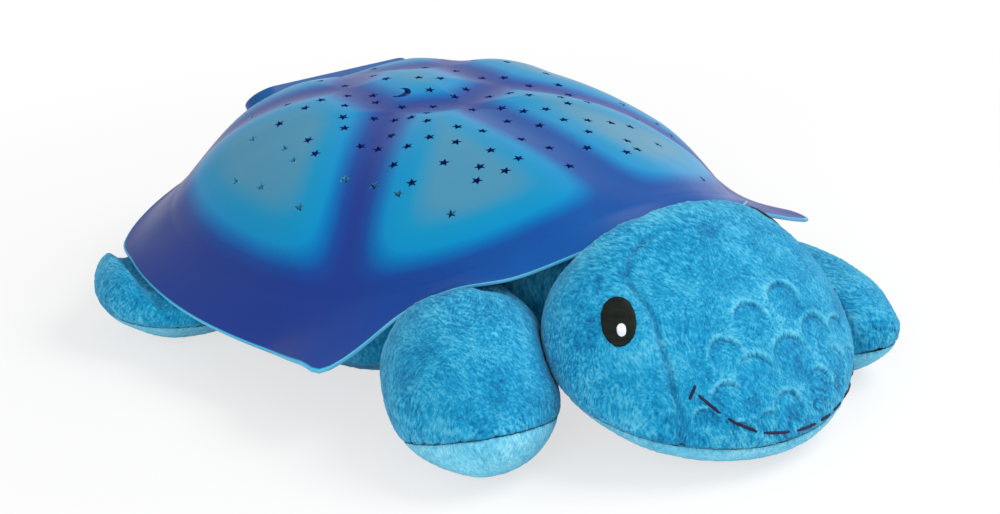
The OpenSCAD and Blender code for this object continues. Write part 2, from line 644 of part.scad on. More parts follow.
head_rise = sqrt((head_l * sin(head_tilt))^2 + (head_t * cos(head_tilt))^2);
head_c = [body_front_r + head_reach, 0, head_rise];
head_h = [head_l, head_w, head_t];
HEAD_SEAM = -18;
module plush_head() {
    color("#2199cf") form(head_c, head_h, HEAD_SEAM, 90, head_tilt, 0, 36, 12);
}
module head_underside() {
    color("#6fb2c8") form(head_c, head_h, -90, HEAD_SEAM, head_tilt, 0, 36, 7);
}
// The eyes sit on the head's sides, at a longitude and latitude of its own tilted frame.
EYE_LON = 86;
EYE_LAT = 37;
eye_sink = 1.6;
module eye(side) {
    on = [head_h[0] * cos(EYE_LON) * cos(EYE_LAT), side * head_h[1] * sin(EYE_LON) * cos(EYE_LAT),
        head_h[2] * sin(EYE_LAT)];
    out = tilted([on[0] / head_h[0]^2, on[1] / head_h[1]^2, on[2] / head_h[2]^2], head_tilt, 0);
    place = head_c + tilted(on, head_tilt, 0) + [shell_x, 0, 0];
    points = [for (k = [0:23]) [eye_h / 2 * cos(15 * k), eye_w / 2 * sin(15 * k)]];
    color("#0b1216") translate(place) rotate([0, 0, atan2(out[1], out[0])])
        rotate([0, 90 - asin(out[2] / norm(out)), 0]) rotate([0, 0, side * 8])
            translate([0, 0, -eye_sink]) linear_extrude(eye_sink + 0.9) polygon(points);
}
module eye_left() { eye(1); }
module eye_right() { eye(-1); }

// Each flipper: its centre from the dome's centre, its half sizes, pitch, yaw and seam latitude.
FRONT_RIGHT = [[111, -90, 28], [50, 35, 28], 10, -28, -28];
FRONT_LEFT = [[122, 87, 23], [58, 26, 23], 0, 8, -28];
REAR_RIGHT = [[-57, -120, 22], [39, 38, 22], 0, 20, -20];
REAR_LEFT = [[-57, 120, 22], [39, 38, 22], 0, -20, -20];
module flipper(f) { color("#2aa0d4") form(f[0], f[1], f[4], 90, f[2], f[3]); }
module sole(f) { color("#57b5d8") form(f[0], f[1], -90, f[4], f[2], f[3], 28, 6); }
module flipper_front_left() { flipper(FRONT_LEFT); }
module flipper_front_right() { flipper(FRONT_RIGHT); }
module flipper_rear_left() { flipper(REAR_LEFT); }
module flipper_rear_right() { flipper(REAR_RIGHT); }
module sole_front_left() { sole(FRONT_LEFT); }
module sole_front_right() { sole(FRONT_RIGHT); }
module sole_rear_left() { sole(REAR_LEFT); }
module sole_rear_right() { sole(REAR_RIGHT); }
tail_back = 127;
tail_z = 20;
tail_l = 16;
tail_w = 11;
tail_h = 9;
module tail() {
    color("#2aa0d4") form([-tail_back, 0, tail_z], [tail_l, tail_w, tail_h], -90, 90, 0, 0, 20, 8);
}

shell();
button_panel();
blue_button();
green_button();
amber_button();
blue_plunger();
green_plunger();
amber_plunger();
key_switches();
button_board();
button_board_screws();
button_lead();
base_tray();
shell_screws();
light_board();
light_board_screws();
blue_led();
green_led();
amber_led();
lamp_cup();
battery_lead();
battery_door();
door_screw();
cell_left();
cell_middle();
cell_right();
contact_positive();
contact_negative();
contact_link_front();
contact_link_rear();
plush_body();
belly_panel();
plush_head();
head_underside();
eye_left();
eye_right();
flipper_front_left();
flipper_front_right();
flipper_rear_left();
flipper_rear_right();
sole_front_left();
sole_front_right();
sole_rear_left();
sole_rear_right();
tail();
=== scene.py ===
import math
from contextlib import contextmanager
from math import radians

import bmesh
import bpy
import numpy as np
from bpy import ops
from mathutils import Euler, Matrix, Vector, noise
from mathutils.bvhtree import BVHTree
from numpy.linalg import norm


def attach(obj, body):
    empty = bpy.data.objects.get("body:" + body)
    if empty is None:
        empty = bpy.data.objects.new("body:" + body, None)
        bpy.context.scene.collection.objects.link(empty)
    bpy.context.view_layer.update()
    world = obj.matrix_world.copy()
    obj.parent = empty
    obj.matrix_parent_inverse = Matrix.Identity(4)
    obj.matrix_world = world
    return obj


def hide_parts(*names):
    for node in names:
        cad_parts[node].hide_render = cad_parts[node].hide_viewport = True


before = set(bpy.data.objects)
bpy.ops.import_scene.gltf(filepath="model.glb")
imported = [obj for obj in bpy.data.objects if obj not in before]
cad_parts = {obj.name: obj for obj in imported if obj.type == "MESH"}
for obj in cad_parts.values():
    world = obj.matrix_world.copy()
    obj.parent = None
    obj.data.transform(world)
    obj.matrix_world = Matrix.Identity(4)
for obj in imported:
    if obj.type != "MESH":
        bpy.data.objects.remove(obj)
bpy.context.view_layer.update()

MM = 0.001

# ---- camera ----
CAMERA_AIM = Vector((10, -19, 40)) * MM
CAMERA_AZIMUTH = radians(-37.5)
CAMERA_ELEVATION = radians(22.5)
CAMERA_DISTANCE = 1.0
CAMERA_LENS = 84.06


def make_camera():
    back = Euler((0, -CAMERA_ELEVATION, CAMERA_AZIMUTH)).to_matrix() @ Vector((1, 0, 0))
    ops.object.camera_add(location=CAMERA_AIM + back * CAMERA_DISTANCE)
    camera = bpy.context.object
    camera.rotation_euler = (-back).to_track_quat("-Z", "Y").to_euler()
    camera.data.lens = CAMERA_LENS
    camera.data.clip_start = 0.05
    bpy.context.scene.camera = camera


# ---- sizes shared with the solids, in millimetres ----
SHELL_X = -32.0
DOME_TOP = 91.5
FOOT_R = 123.0
FOOT_Z = 42.0
BRIM_R = 146.0
BRIM_Z = 25.0
SHELL_WALL = 2.4
EDGE_WALL = 1.6
SCUTE_BULGE = 4.2
SEAM_W = 15.0
STAR_R = 2.7
STAR_INNER_R = 1.2
MOON_R = 4.5
BODY_FRONT_R = 100.0
BODY_REAR_R = 117.0
# Azimuths between which the body widens to its side, and then to its rear.
WIDEN = ((50, 68), (95, 130))
SOFT_GAP = 0.3
ROOF_GAP = 1.5
EDGE_GAP = 4.0
ROOF_CLIMB = 5.0
TRAY_R = 84.0
DECK_TOP = 36.4
BOSS_RING_R = 74.0
BOSS_R = 4.0
SCREW_BORE_R = 1.33
BOSS_ANGLES = (45, 135, 225, 315)
PANEL_W = 90.0
PANEL_D = 22.0
PANEL_BACK = 115.5
PANEL_Z = DOME_TOP - 22
PANEL_TILT = radians(45)
PANEL_TOP = 4.0
PANEL_FIT = 0.2
BUTTON_R = 6.4
BUTTON_PITCH = 30.0
BUTTON_PROUD = 2.0
RUN_GAP = 0.08

# Azimuth from the head, then edge radius, edge height, foot radius, foot height (each added to the
# side's), the slope at the foot, the slope at the edge and the power of the dome's curve.
STATIONS = np.array([
    [0, -28, 51, -15, 39, 25, -10, 2.7], [16, -27, 45, -14, 35, 30, -5, 2.6],
    [30, -26, 37, -13, 26, 40, 0, 2.4], [42, -26, 32, -12, 17, 45, 0, 2.4],
    [52, -24, 20, -11, 10, 45, 5, 2.5], [60, 6, 7, -9, 5, 45, 15, 2.7], [65, 3, 6, -8, 3, 50, 25, 2.8],
    [76, -8, 1, -4, 1, 54, 35, 2.8], [95, -4, 2, 0, 0, 56, 45, 2.8], [118, 7, 5, 9, 2, 56, 35, 3],
    [128, 12, 4, 12, 4, 56, 25, 3.5], [150, 3, 12, 14, 6, 55, 10, 4.6],
    [180, -4, 18, 9, 8, 50, 5, 4.4]], float)
# The seams between scutes on the right side, in plan from the dome's centre.
SEAMS = [((-8, 0), (-22, -30)), ((-22, -30), (-62, -28)), ((-62, -28), (-86, 0)), ((-8, 0), (140, 0)),
         ((-22, -30), (60, -118)), ((-62, -28), (-110, -95))]
# Where the star holes lie, in plan from the dome's centre.
STARS = [
    (-25, -68), (-31, -76), (-20, -79), (-14, -72), (-39, -96), (-22, -94), (5, -93), (-4, -58), (4, -55),
    (9, -75), (23, -70), (21, -58), (36, -59), (36, -66), (16, -47), (0, -45), (-20, -54), (-28, -49),
    (-38, -42), (-51, -33), (-20, -40), (-12, -35), (-6, -30), (-43, -25), (-35, -29), (-22, -24),
    (-52, -10), (-68, -7), (-67, -24), (-83, -25), (-49, -54), (-51, -45), (-49, -67), (-54, -78),
    (-66, -54), (-87, -62), (36, -43), (55, -41), (49, -35), (43, -25), (59, -30), (56, -21), (28, -31),
    (18, -37), (61, -58), (73, -7), (55, -3), (42, -8), (27, -17), (18, -23), (34, 8), (63, 10), (50, 20),
    (-41, 0), (-35, 7), (-34, 29), (-28, 37), (-27, -5), (-22, 11), (-17, 1), (-9, 14), (-4, 22), (6, 24),
    (-16, 42), (12, 36), (-2, 54), (20, 33), (18, 46), (-14, -13), (0, -2), (8, 8), (18, 12), (22, 20),
    (35, 19), (38, 29), (21, 1), (-13, 56), (5, -29), (-5, -23), (40, 40), (42, 49), (60, 32), (69, 30),
    (72, 22), (20, 76), (58, 51), (48, 79), (17, 89), (4, 79), (-50, 26), (-66, 20), (-78, 40), (-60, 44),
    (-46, 52), (-28, 60), (-52, 70), (-68, 62), (-34, 80), (-20, 92), (24, 92), (-52, 88), (84, 56),
    (12, 100), (-92, 10), (-90, -10)]
MOON = (-33, -16)


# ---- small helpers ----
def srgb(*screen):
    """Screen values from 0 to 255 as a linear colour."""
    return (*[c / 255 / 12.92 if c <= 10 else ((c / 255 + 0.055) / 1.055) ** 2.4 for c in screen], 1.0)


def deselect():
    ops.object.select_all(action="DESELECT")


def work_on(obj):
    deselect()
    obj.select_set(True)
    bpy.context.view_layer.objects.active = obj


def named(name):
    """The object that the last step made, under its own name."""
    made = bpy.context.object
    made.name = made.data.name = name
    return made


def modify(obj, kind, **settings):
    """Adds a modifier, which apply_all then works into the mesh."""
    made = obj.modifiers.new(kind.lower(), kind)
    for key, value in settings.items():
        setattr(made, key, value)
    return made


def apply_all(obj):
    work_on(obj)
    for modifier in list(obj.modifiers):
        ops.object.modifier_apply(modifier=modifier.name)


def smooth(obj, angle):
    work_on(obj)
    ops.object.shade_smooth_by_angle(angle=radians(angle))


@contextmanager
def editing(obj, action="SELECT"):
    """Edit mode on one object, with all of it selected or none."""
    work_on(obj)
    ops.object.mode_set(mode="EDIT")
    ops.mesh.select_all(action=action)
    yield
    ops.object.mode_set(mode="OBJECT")


def pick(obj, kind, wanted):
    """In edit mode, selects the faces or edges that are wanted."""
    mesh = bmesh.from_edit_mesh(obj.data)
    for part in getattr(mesh, kind):
        part.select_set(wanted(part))
    bmesh.update_edit_mesh(obj.data)


def mend(obj, merge=False):
    """Turns the faces outward, with coinciding points merged if asked."""
    with editing(obj):
        if merge:
            ops.mesh.remove_doubles(threshold=1e-5)
        ops.mesh.normals_make_consistent(inside=False)


def bevel(offset, segments):
    ops.mesh.bevel(offset=offset * MM, segments=segments, affect="EDGES")


def bevel_sharp(obj, angle, offset, segments):
    """Rounds every edge that is sharper than the angle in degrees."""
    with editing(obj, "DESELECT"):
        ops.mesh.edges_select_sharp(sharpness=radians(angle))
        bevel(offset, segments)


def read_points(obj, field):
    values = np.zeros(len(obj.data.vertices) * 3, np.float32)
    obj.data.vertices.foreach_get(field, values)
    return values.reshape(-1, 3).astype(float)


def points_of(obj):
    return read_points(obj, "co")


def set_points(obj, co):
    obj.data.vertices.foreach_set("co", np.asarray(co, np.float32).ravel())
    obj.data.update()


def push_out(obj, height):
    """Moves each point along its normal, by millimetres."""
    set_points(obj, points_of(obj) + read_points(obj, "normal") * (height * MM)[:, None])


def set_mask(obj, name, values):
    """Keeps one float for each point of the mesh."""
    attribute = obj.data.attributes.get(name) or obj.data.attributes.new(name, "FLOAT", "POINT")
    attribute.data.foreach_set("value", np.asarray(values, np.float32))


def join(name, pieces):
    deselect()
    for piece in pieces:
        piece.select_set(True)
    bpy.context.view_layer.objects.active = pieces[0]
    ops.object.join()
    return named(name)


def give(obj, *materials):
    obj.data.materials.clear()
    for material in materials:
        obj.data.materials.append(material)


def place(obj, body, slot, *nodes):
    """The piece moves with its body, and stands for its nodes."""
    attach(obj, body)
    if nodes:
        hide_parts(*nodes)
    return obj


# ---- shader helpers ----
def node(tree, kind, values=None, **settings):
    """A shader node: each value is set on its input, or linked to it if it is another's output."""
    made = tree.nodes.new("ShaderNode" + kind)
    for key, value in settings.items():
        setattr(made, key, value)
    for key, value in (values or {}).items():
        if isinstance(value, bpy.types.NodeSocket):
            tree.links.new(value, made.inputs[key])
        else:
            made.inputs[key].default_value = value
    return made


def empty_tree(owner):
    owner.use_nodes = True
    owner.node_tree.nodes.clear()
    return owner.node_tree


def make_material(name, dress, *colours, **settings):
    """A material whose shader takes what dress returns for its inputs."""
    material = bpy.data.materials.new(name)
    tree = empty_tree(material)
    shader = node(tree, "BsdfPrincipled", dress(tree, *[srgb(*colour) for colour in colours], **settings))
    node(tree, "OutputMaterial", {"Surface": shader.outputs["BSDF"]})
    return material


def ramp(tree, source, *stops):
    made = node(tree, "ValToRGB", {"Fac": source})
    elements = made.color_ramp.elements
    while len(elements) < len(stops):
        elements.new(0.5)
    for element, (position, colour) in zip(elements, stops):
        element.position = position
        element.color = colour
    return made.outputs["Color"]


def math_node(tree, operation, a, b, clamp=False):
    return node(tree, "Math", {0: a, 1: b}, operation=operation, use_clamp=clamp).outputs[0]


def vector_math(tree, operation, *values):
    return node(tree, "VectorMath", dict(enumerate(values)), operation=operation).outputs[0]


def scaled(tree, value, by, plus):
    return math_node(tree, "ADD", math_node(tree, "MULTIPLY", value, by), plus)


def past(tree, value, start, by, clamp=False):
    """How far a value is past a start, times a factor."""
    return math_node(tree, "MULTIPLY", math_node(tree, "SUBTRACT", value, start), by, clamp)


def mix_colour(tree, share, a, b):
    return node(tree, "Mix", {0: share, 6: a, 7: b}, data_type="RGBA").outputs[2]


def object_coordinates(tree):
    return node(tree, "TexCoord").outputs["Object"]


def noise_at(tree, scale, detail=2.0, rough=0.5, vector=None):
    return node(tree, "TexNoise", {"Scale": scale, "Detail": detail, "Roughness": rough,
                                   "Vector": vector or object_coordinates(tree)}).outputs["Fac"]


def bump(tree, height, strength, distance):
    return node(tree, "Bump", {"Strength": strength, "Distance": distance, "Height": height}).outputs["Normal"]


def tinted(colour, by, plus=0.0):
    return (*[min(1.0, c * by + plus) for c in colour[:3]], 1.0)


def make_pile_group():
    """Short pile: the height of its streaks, which lie along the surface, and its patches."""
    tree = bpy.data.node_groups.new("pile", "ShaderNodeTree")
    width = tree.interface.new_socket("Width", in_out="INPUT", socket_type="NodeSocketFloat")
    width.default_value = 900.0
    for key in ("Height", "Patch"):
        tree.interface.new_socket(key, in_out="OUTPUT", socket_type="NodeSocketFloat")
    given, out = tree.nodes.new("NodeGroupInput"), tree.nodes.new("NodeGroupOutput")
    at = node(tree, "TexCoord").outputs
    warp = node(tree, "TexNoise", {"Scale": 38.0, "Detail": 1.0, "Vector": at["Object"]})
    shift = vector_math(tree, "SUBTRACT", warp.outputs["Color"], (0.5, 0.5, 0.5))
    moved = vector_math(tree, "MULTIPLY_ADD", shift, (0.022, 0.022, 0.022), at["Object"])
    parts = node(tree, "SeparateXYZ", {0: vector_math(tree, "MULTIPLY", at["Normal"], at["Normal"])}).outputs
    total = 0.0
    # Streaks seen from each axis: how they are turned and how they are drawn out.
    for axis, turn, squeeze in (("X", (0.0, 0.35, 0.3), (1, 1, 0.28)), ("Y", (0.25, 0.0, 0.5), (1, 1, 0.28)),
                                ("Z", (0.0, 0.0, 0.6), (0.3, 1, 1))):
        turned = node(tree, "Mapping", {"Rotation": turn, "Scale": squeeze, "Vector": moved}).outputs[0]
        grain = noise_at(tree, given.outputs["Width"], 3.0, 0.6, turned)
        total = math_node(tree, "ADD", math_node(tree, "MULTIPLY", grain, parts[axis]), total)
    tree.links.new(total, out.inputs["Height"])
    tree.links.new(noise_at(tree, 55.0, 3.0, 0.6, at["Object"]), out.inputs["Patch"])
    return tree


PILE = make_pile_group()


def plush(tree, root, middle, tip, seam):
    """Velvety plush, whose mesh carries its pile, its sewn lines and its pressed marks; its colour has painted
    light on crests and ridges and painted shade in hollows and grooves.
    """
    streak = node(tree, "Group", {"Width": 1150.0}, node_tree=PILE).outputs
    crest_shading, sewn, pressed = (node(tree, "Attribute", attribute_name=mask).outputs["Fac"]
                           for mask in ("pile", "sewn", "ridge"))
    # The level mixes painted light and shade, higher on the streaks, the pile's crests and the pressed ridges
    # and lower in hollows, with random tone from the patches.
    level = scaled(tree, streak["Height"], 0.78, math_node(tree, "MULTIPLY", crest_shading, 0.22))
    for share, weight in ((streak["Patch"], 0.5), (pressed, 0.3)):
        level = math_node(tree, "ADD", level, past(tree, share, 0.5, weight))
    # The ramp runs from painted shade (root) through the mid tone to painted light (tip).
    colour = ramp(tree, level, (0.32, root), (0.5, middle), (0.72, tip))
    # The seam colour is painted shade, laid into the grooves of seams and pressed marks.
    return {"Base Color": mix_colour(tree, math_node(tree, "MULTIPLY", sewn, 0.75), colour, seam),
            "Roughness": 0.88, "Specular IOR Level": 0.2, "Sheen Weight": 0.32, "Sheen Roughness": 0.45,
            "Sheen Tint": srgb(170, 225, 245), "Normal": bump(tree, streak["Height"], 0.55, 0.0012)}


def cloudy(tree, dark, pale, scale, detail, rough, vary):
    """Two shades in drifts, and a roughness that drifts with them."""
    cloud = noise_at(tree, scale, detail)
    return {"Base Color": ramp(tree, cloud, (0.3, dark), (0.7, pale)),
            "Roughness": scaled(tree, cloud, vary, rough - vary / 2)}


def moulding(tree, colour, rough, grain=0.12, coat=0.0, spec=0.5):
    """Moulded plastic, faintly textured and mottled."""
    return {**cloudy(tree, tinted(colour, 0.86), tinted(colour, 1.08), 60.0, 4.0, rough, 0.12),
            "Normal": bump(tree, noise_at(tree, 2200.0), grain, 0.0002), "Coat Weight": coat,
            "Specular IOR Level": spec}


def metal(tree, colour, rough):
    return {**cloudy(tree, tinted(colour, 0.8), colour, 900.0, 3.0, rough, 0.2), "Metallic": 1.0}


def lens(tree, colour):
    cloud = noise_at(tree, 300.0)
    return {"Base Color": ramp(tree, cloud, (0.3, colour), (0.7, tinted(colour, 1.1, 0.05))),
            "Roughness": 0.12, "Coat Weight": 0.5, "Normal": bump(tree, cloud, 0.05, 0.0003)}


def thread(tree, colour, pale, spec=0.5):
    """Satin stitches: fine parallel strands."""
    turned = node(tree, "Mapping", {"Scale": (0.12, 0.12, 1.0), "Rotation": (0.4, 0.3, 0.2),
                                    "Vector": object_coordinates(tree)}).outputs[0]
    strand = noise_at(tree, 900.0, vector=turned)
    return {"Base Color": ramp(tree, strand, (0.35, colour), (0.75, pale)), "Roughness": 0.6,
            "Specular IOR Level": spec, "Normal": bump(tree, strand, 0.6, 0.0004)}


# Where the brim's paint ends at its lip, as a share of the brim.
LIP_START = 0.955


def paint(tree, *shades):
    """Sprayed plastic: indigo along seams and brim, then blue, and pale within a scute."""
    parts = node(tree, "SeparateXYZ", {0: node(tree, "UVMap", uv_map="spray").outputs["UV"]}).outputs
    drift = past(tree, noise_at(tree, 22.0, 3.0), 0.5, 0.10)
    speck = past(tree, noise_at(tree, 1500.0), 0.5, 0.05)
    depth = math_node(tree, "ADD", parts["X"], math_node(tree, "ADD", drift, speck))
    colour = ramp(tree, depth, *zip((0.05, 0.2, 0.34, 0.48, 0.72, 1.0), shades))
    lip = past(tree, parts["Y"], LIP_START, 34.0, clamp=True)
    return {"Base Color": mix_colour(tree, lip, colour, shades[-1]),
            "Roughness": scaled(tree, noise_at(tree, 30.0, 3.0), 0.10, 0.30), "Coat Weight": 0.03,
            "Coat Roughness": 0.25, "Specular IOR Level": 0.1,
            "Normal": bump(tree, noise_at(tree, 28.0), 0.12, 0.004)}


def board(tree, ground, worn, track):
    tracks = node(tree, "TexBrick", {"Scale": 160.0, "Mortar Size": 0.012, "Color1": ground, "Color2": worn,
                                     "Mortar": track, "Vector": object_coordinates(tree)})
    return {"Base Color": tracks.outputs["Color"], "Roughness": 0.4,
            "Normal": bump(tree, noise_at(tree, 700.0), 0.1, 0.0002)}


def woven(tree, colour, pale):
    warp, weft = (node(tree, "TexWave", {"Scale": 260.0, "Distortion": 1.0, "Vector": object_coordinates(tree)},
                       bands_direction=way).outputs["Fac"] for way in "XY")
    weave = math_node(tree, "MULTIPLY", warp, weft)
    return {"Base Color": ramp(tree, weave, (0.0, colour), (0.8, pale)), "Roughness": 0.9,
            "Sheen Weight": 0.2, "Normal": bump(tree, weave, 0.4, 0.0004)}


# The cloth of the soft pieces, by its slot in the record. Their colours run from painted shade in the pile's
# hollows, through the mid tone, to painted light on its crests, then painted shade for the grooves of seams.
CLOTHS = {
    "plush": make_material("plush", plush, (0, 92, 145), (8, 146, 193), (96, 194, 222), (12, 70, 118)),
    "pale_plush": make_material("pale_plush", plush, (66, 158, 196), (104, 194, 224), (160, 224, 240),
                                (24, 96, 140))}
shell_paint = make_material("shell_paint", paint, (27, 55, 134), (18, 68, 146), (0, 104, 172), (0, 136, 190),
                            (8, 138, 184), (68, 138, 170), (72, 188, 228))
# The shell's unpainted plastic.
shell_bare = make_material("shell_bare", cloudy, (66, 146, 186), (96, 178, 212), scale=40.0, detail=3.0,
                           rough=0.35, vary=0.1)
# Painted shade on the walls of the lower holes, for the dark inside the dome.
dark_hole = make_material("dark_hole", moulding, (10, 20, 38), rough=0.6, spec=0.1)
# Warm lamp light painted on the walls of the holes high on the dome.
lit_hole = make_material("lit_hole", moulding, (150, 110, 104), rough=0.6, spec=0.1)
panel_plastic = make_material("panel_plastic", moulding, (24, 84, 150), rough=0.4, spec=0.2)
eye_black = make_material("eye_black", thread, (2, 5, 4), (12, 26, 18), spec=0.15)
eye_white = make_material("eye_white", thread, (214, 220, 244), (250, 250, 255))
mouth_thread = make_material("mouth_thread", thread, (16, 16, 44), (40, 38, 78), spec=0.2)
belly_cloth = make_material("belly_cloth", woven, (60, 140, 180), (100, 178, 208))

# Nodes shown as the solids are: their material, its dress, colours and settings.
CAD_FINISHES = (
    ("white_plastic", moulding, [(226, 229, 232)], {"rough": 0.5, "grain": 0.3}, "base_tray battery_door"),
    ("black_plastic", moulding, [(24, 24, 27)], {"rough": 0.55, "grain": 0.3},
     "lamp_cup blue_plunger green_plunger amber_plunger"),
    ("circuit_board", board, [(16, 92, 56), (20, 104, 62), (60, 150, 90)], {}, "button_board light_board"),
    ("steel", metal, [(200, 202, 206)], {"rough": 0.3},
     "shell_screws button_board_screws light_board_screws door_screw key_switches"),
    ("contact_brass", metal, [(214, 190, 140)], {"rough": 0.35},
     "contact_positive contact_negative contact_link_front contact_link_rear"),
    ("lead_grey", moulding, [(140, 143, 148)], {"rough": 0.6}, "button_lead"),
    ("lead_red", moulding, [(170, 34, 34)], {"rough": 0.6}, "battery_lead"),
    ("lens_blue", lens, [(110, 160, 240)], {}, "blue_led"),
    ("lens_green", lens, [(110, 214, 150)], {}, "green_led"),
    ("lens_amber", lens, [(242, 184, 96)], {}, "amber_led"),
    ("cell_sleeve", moulding, [(58, 70, 82)], {"rough": 0.3, "grain": 0.05, "coat": 0.3},
     "cell_left cell_middle cell_right"))
for name, dress, colours, settings, names in CAD_FINISHES:
    finish = make_material(name, dress, *colours, **settings)
    for node_name in names.split():
        give(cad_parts[node_name], finish)


# ---- the shell's form ----
def hermite(s):
    return 2 * s**3 - 3 * s**2 + 1, s**3 - 2 * s**2 + s, 3 * s**2 - 2 * s**3, s**3 - s**2


def ease(share):
    s = np.clip(share, 0, 1)
    return 3 * s**2 - 2 * s**3


def folded(azimuth):
    """Degrees from the head, whichever side."""
    return np.abs((np.asarray(azimuth, float) + 540) % 360 - 180)


def station(azimuth):
    """The seven values of the profile at each azimuth, eased between the stations."""
    azimuth = folded(azimuth)
    at, rows = STATIONS[:, 0], STATIONS[:, 1:]
    slopes = np.zeros_like(rows)
    slopes[1:-1] = (rows[2:] - rows[:-2]) / (at[2:] - at[:-2])[:, None]
    i = np.clip(np.searchsorted(at, azimuth, side="right") - 1, 0, len(at) - 2)
    width = at[i + 1] - at[i]
    h00, h10, h01, h11 = (h[..., None] for h in hermite((azimuth - at[i]) / width))
    width = width[..., None]
    return h00 * rows[i] + h10 * width * slopes[i] + h01 * rows[i + 1] + h11 * width * slopes[i + 1]


def seam_distance(x, y):
    """Distance in plan from the nearest seam."""
    y = -np.abs(y)
    found = np.full(np.shape(x), 1e9)
    for (ax, ay), (bx, by) in SEAMS:
        t = np.clip(((x - ax) * (bx - ax) + (y - ay) * (by - ay)) / ((bx - ax)**2 + (by - ay)**2), 0, 1)
        found = np.minimum(found, np.hypot(x - ax - t * (bx - ax), y - ay - t * (by - ay)))
    return found


def dome_height(q, share):
    """Height of the dome without its scutes, at a share of the way down it."""
    foot_z = FOOT_Z + q[..., 3]
    return foot_z + (DOME_TOP - foot_z) * (1 - share**q[..., 6])


def brim_height(q, share):
    """Height of the brim, at a share of the way across it."""
    width = BRIM_R + q[..., 0] - FOOT_R - q[..., 2]
    h00, h10, h01, h11 = hermite(share)
    return (h00 * (FOOT_Z + q[..., 3]) - h10 * 0.6 * width * np.tan(np.radians(q[..., 4]))
            + h01 * (BRIM_Z + q[..., 1]) - h11 * 0.6 * width * np.tan(np.radians(q[..., 5])))


def shell_points(azimuth, t):
    """Points of the shell's outside: t is 0 to 1 on the dome and 1 to 2 on the brim."""
    q = station(azimuth)
    foot_r = FOOT_R + q[..., 2]
    dome_t, s = np.minimum(t, 1), np.clip(t - 1, 0, 1)
    r = np.where(t <= 1, foot_r * dome_t, foot_r + (BRIM_R + q[..., 0] - foot_r) * s)
    z = np.where(t <= 1, dome_height(q, dome_t), brim_height(q, s))
    a = np.radians(azimuth)
    swell = (SCUTE_BULGE * (1 - np.exp(-(seam_distance(r * np.cos(a), r * np.sin(a)) / SEAM_W)**2))
             * ease((1.04 - t) / 0.25))
    up = np.clip(1.15 - 0.8 * np.minimum(t, 1.3), 0.2, 1)
    r, z = r + swell * np.sqrt(1 - up**2), z + swell * up
    return np.stack([SHELL_X + r * np.cos(a), r * np.sin(a), z], -1)


def shell_frame(x, y):
    """The shell's outside over a plan point from the dome's centre, and its normal."""
    azimuth = math.degrees(math.atan2(y, x))
    t = math.hypot(x, y) / (FOOT_R + station(azimuth)[2])
    here, ahead, beside = (shell_points(np.array(azimuth + turn), np.array(t + out))
                           for turn, out in ((0, 0), (0, 0.02), (1.0, 0)))
    n = np.cross(ahead - here, beside - here)
    n = n / norm(n)
    return Vector(here), Vector(n if n[2] > 0 else -n)


# Holes above this height have warm lamp light painted on their walls; the lower ones have painted shade.
CROWN_Z = 82.0
SHELL_TURNS = 260
SHELL_RINGS = 92
# The dome's share of the rings.
DOME_SHARE = 0.72
# How far the paint fades from the seams and from the dome's foot.
SEAM_FADE = 31
RIM_FADE = 34
STAR_REACH = 4.2
MOON_REACH = 5.0


def make_shell_skin():
    """A grid wrapped round the dome and the brim, closed at the crown."""
    ops.mesh.primitive_grid_add(x_subdivisions=SHELL_TURNS, y_subdivisions=SHELL_RINGS, size=2)
    skin = named("shell")
    co = points_of(skin)
    azimuth, share = (co[:, 0] + 1) * 180, (co[:, 1] + 1) / 2
    t = np.where(share < DOME_SHARE, share / DOME_SHARE, 1 + (share - DOME_SHARE) / (1 - DOME_SHARE))
    p = shell_points(azimuth, t)
    set_points(skin, p * MM)
    # How deep a point lies in its scute, and how far out on the brim.
    arc_t = t[:, None] + (1 - t)[:, None] * np.linspace(0, 1, 60)
    line = shell_points(azimuth[:, None], np.where(t[:, None] < 1, arc_t, t[:, None]))
    to_foot = norm(np.diff(line, axis=1), axis=2).sum(1)
    front = ease((82 - folded(azimuth)) / 50)
    near = seam_distance(p[:, 0] - SHELL_X, p[:, 1]) / SEAM_FADE
    rim = np.maximum(to_foot - 3 + 5 * front, 0) / RIM_FADE
    depth = -np.log(np.exp(-5 * near) + np.exp(-5 * rim)) / 5
    least = 0.23 * front
    depth = np.clip(np.where(t < 1, np.maximum(depth, least), least), 0, 1)
    out = np.clip(t - 1, 0, 1)
    loops = np.zeros(len(skin.data.loops), np.int32)
    skin.data.loops.foreach_get("vertex_index", loops)
    skin.data.uv_layers.new(name="spray").data.foreach_set("uv", np.stack([depth, out], -1)[loops].ravel())
    walls = skin.vertex_groups.new(name="wall")
    for i, value in enumerate(1 - (1 - EDGE_WALL / SHELL_WALL) * out):
        walls.add([i], float(value), "REPLACE")
    mend(skin, merge=True)
    return skin


def prism(name, outline, low, high):
    """A flat outline, raised from one height to another."""
    ops.mesh.primitive_circle_add(vertices=len(outline), radius=1, fill_type="NGON")
    made = named(name)
    for v, (x, y) in zip(made.data.vertices, outline):
        v.co = (x * MM, y * MM, low * MM)
    with editing(made):
        ops.mesh.extrude_region_move(TRANSFORM_OT_translate={"value": (0, 0, (high - low) * MM)})
    mend(made)
    return made


def arc(radius, start, end, steps, shift=0.0):
    return [(shift + radius * math.cos(a), radius * math.sin(a)) for a in np.linspace(start, end, steps)]


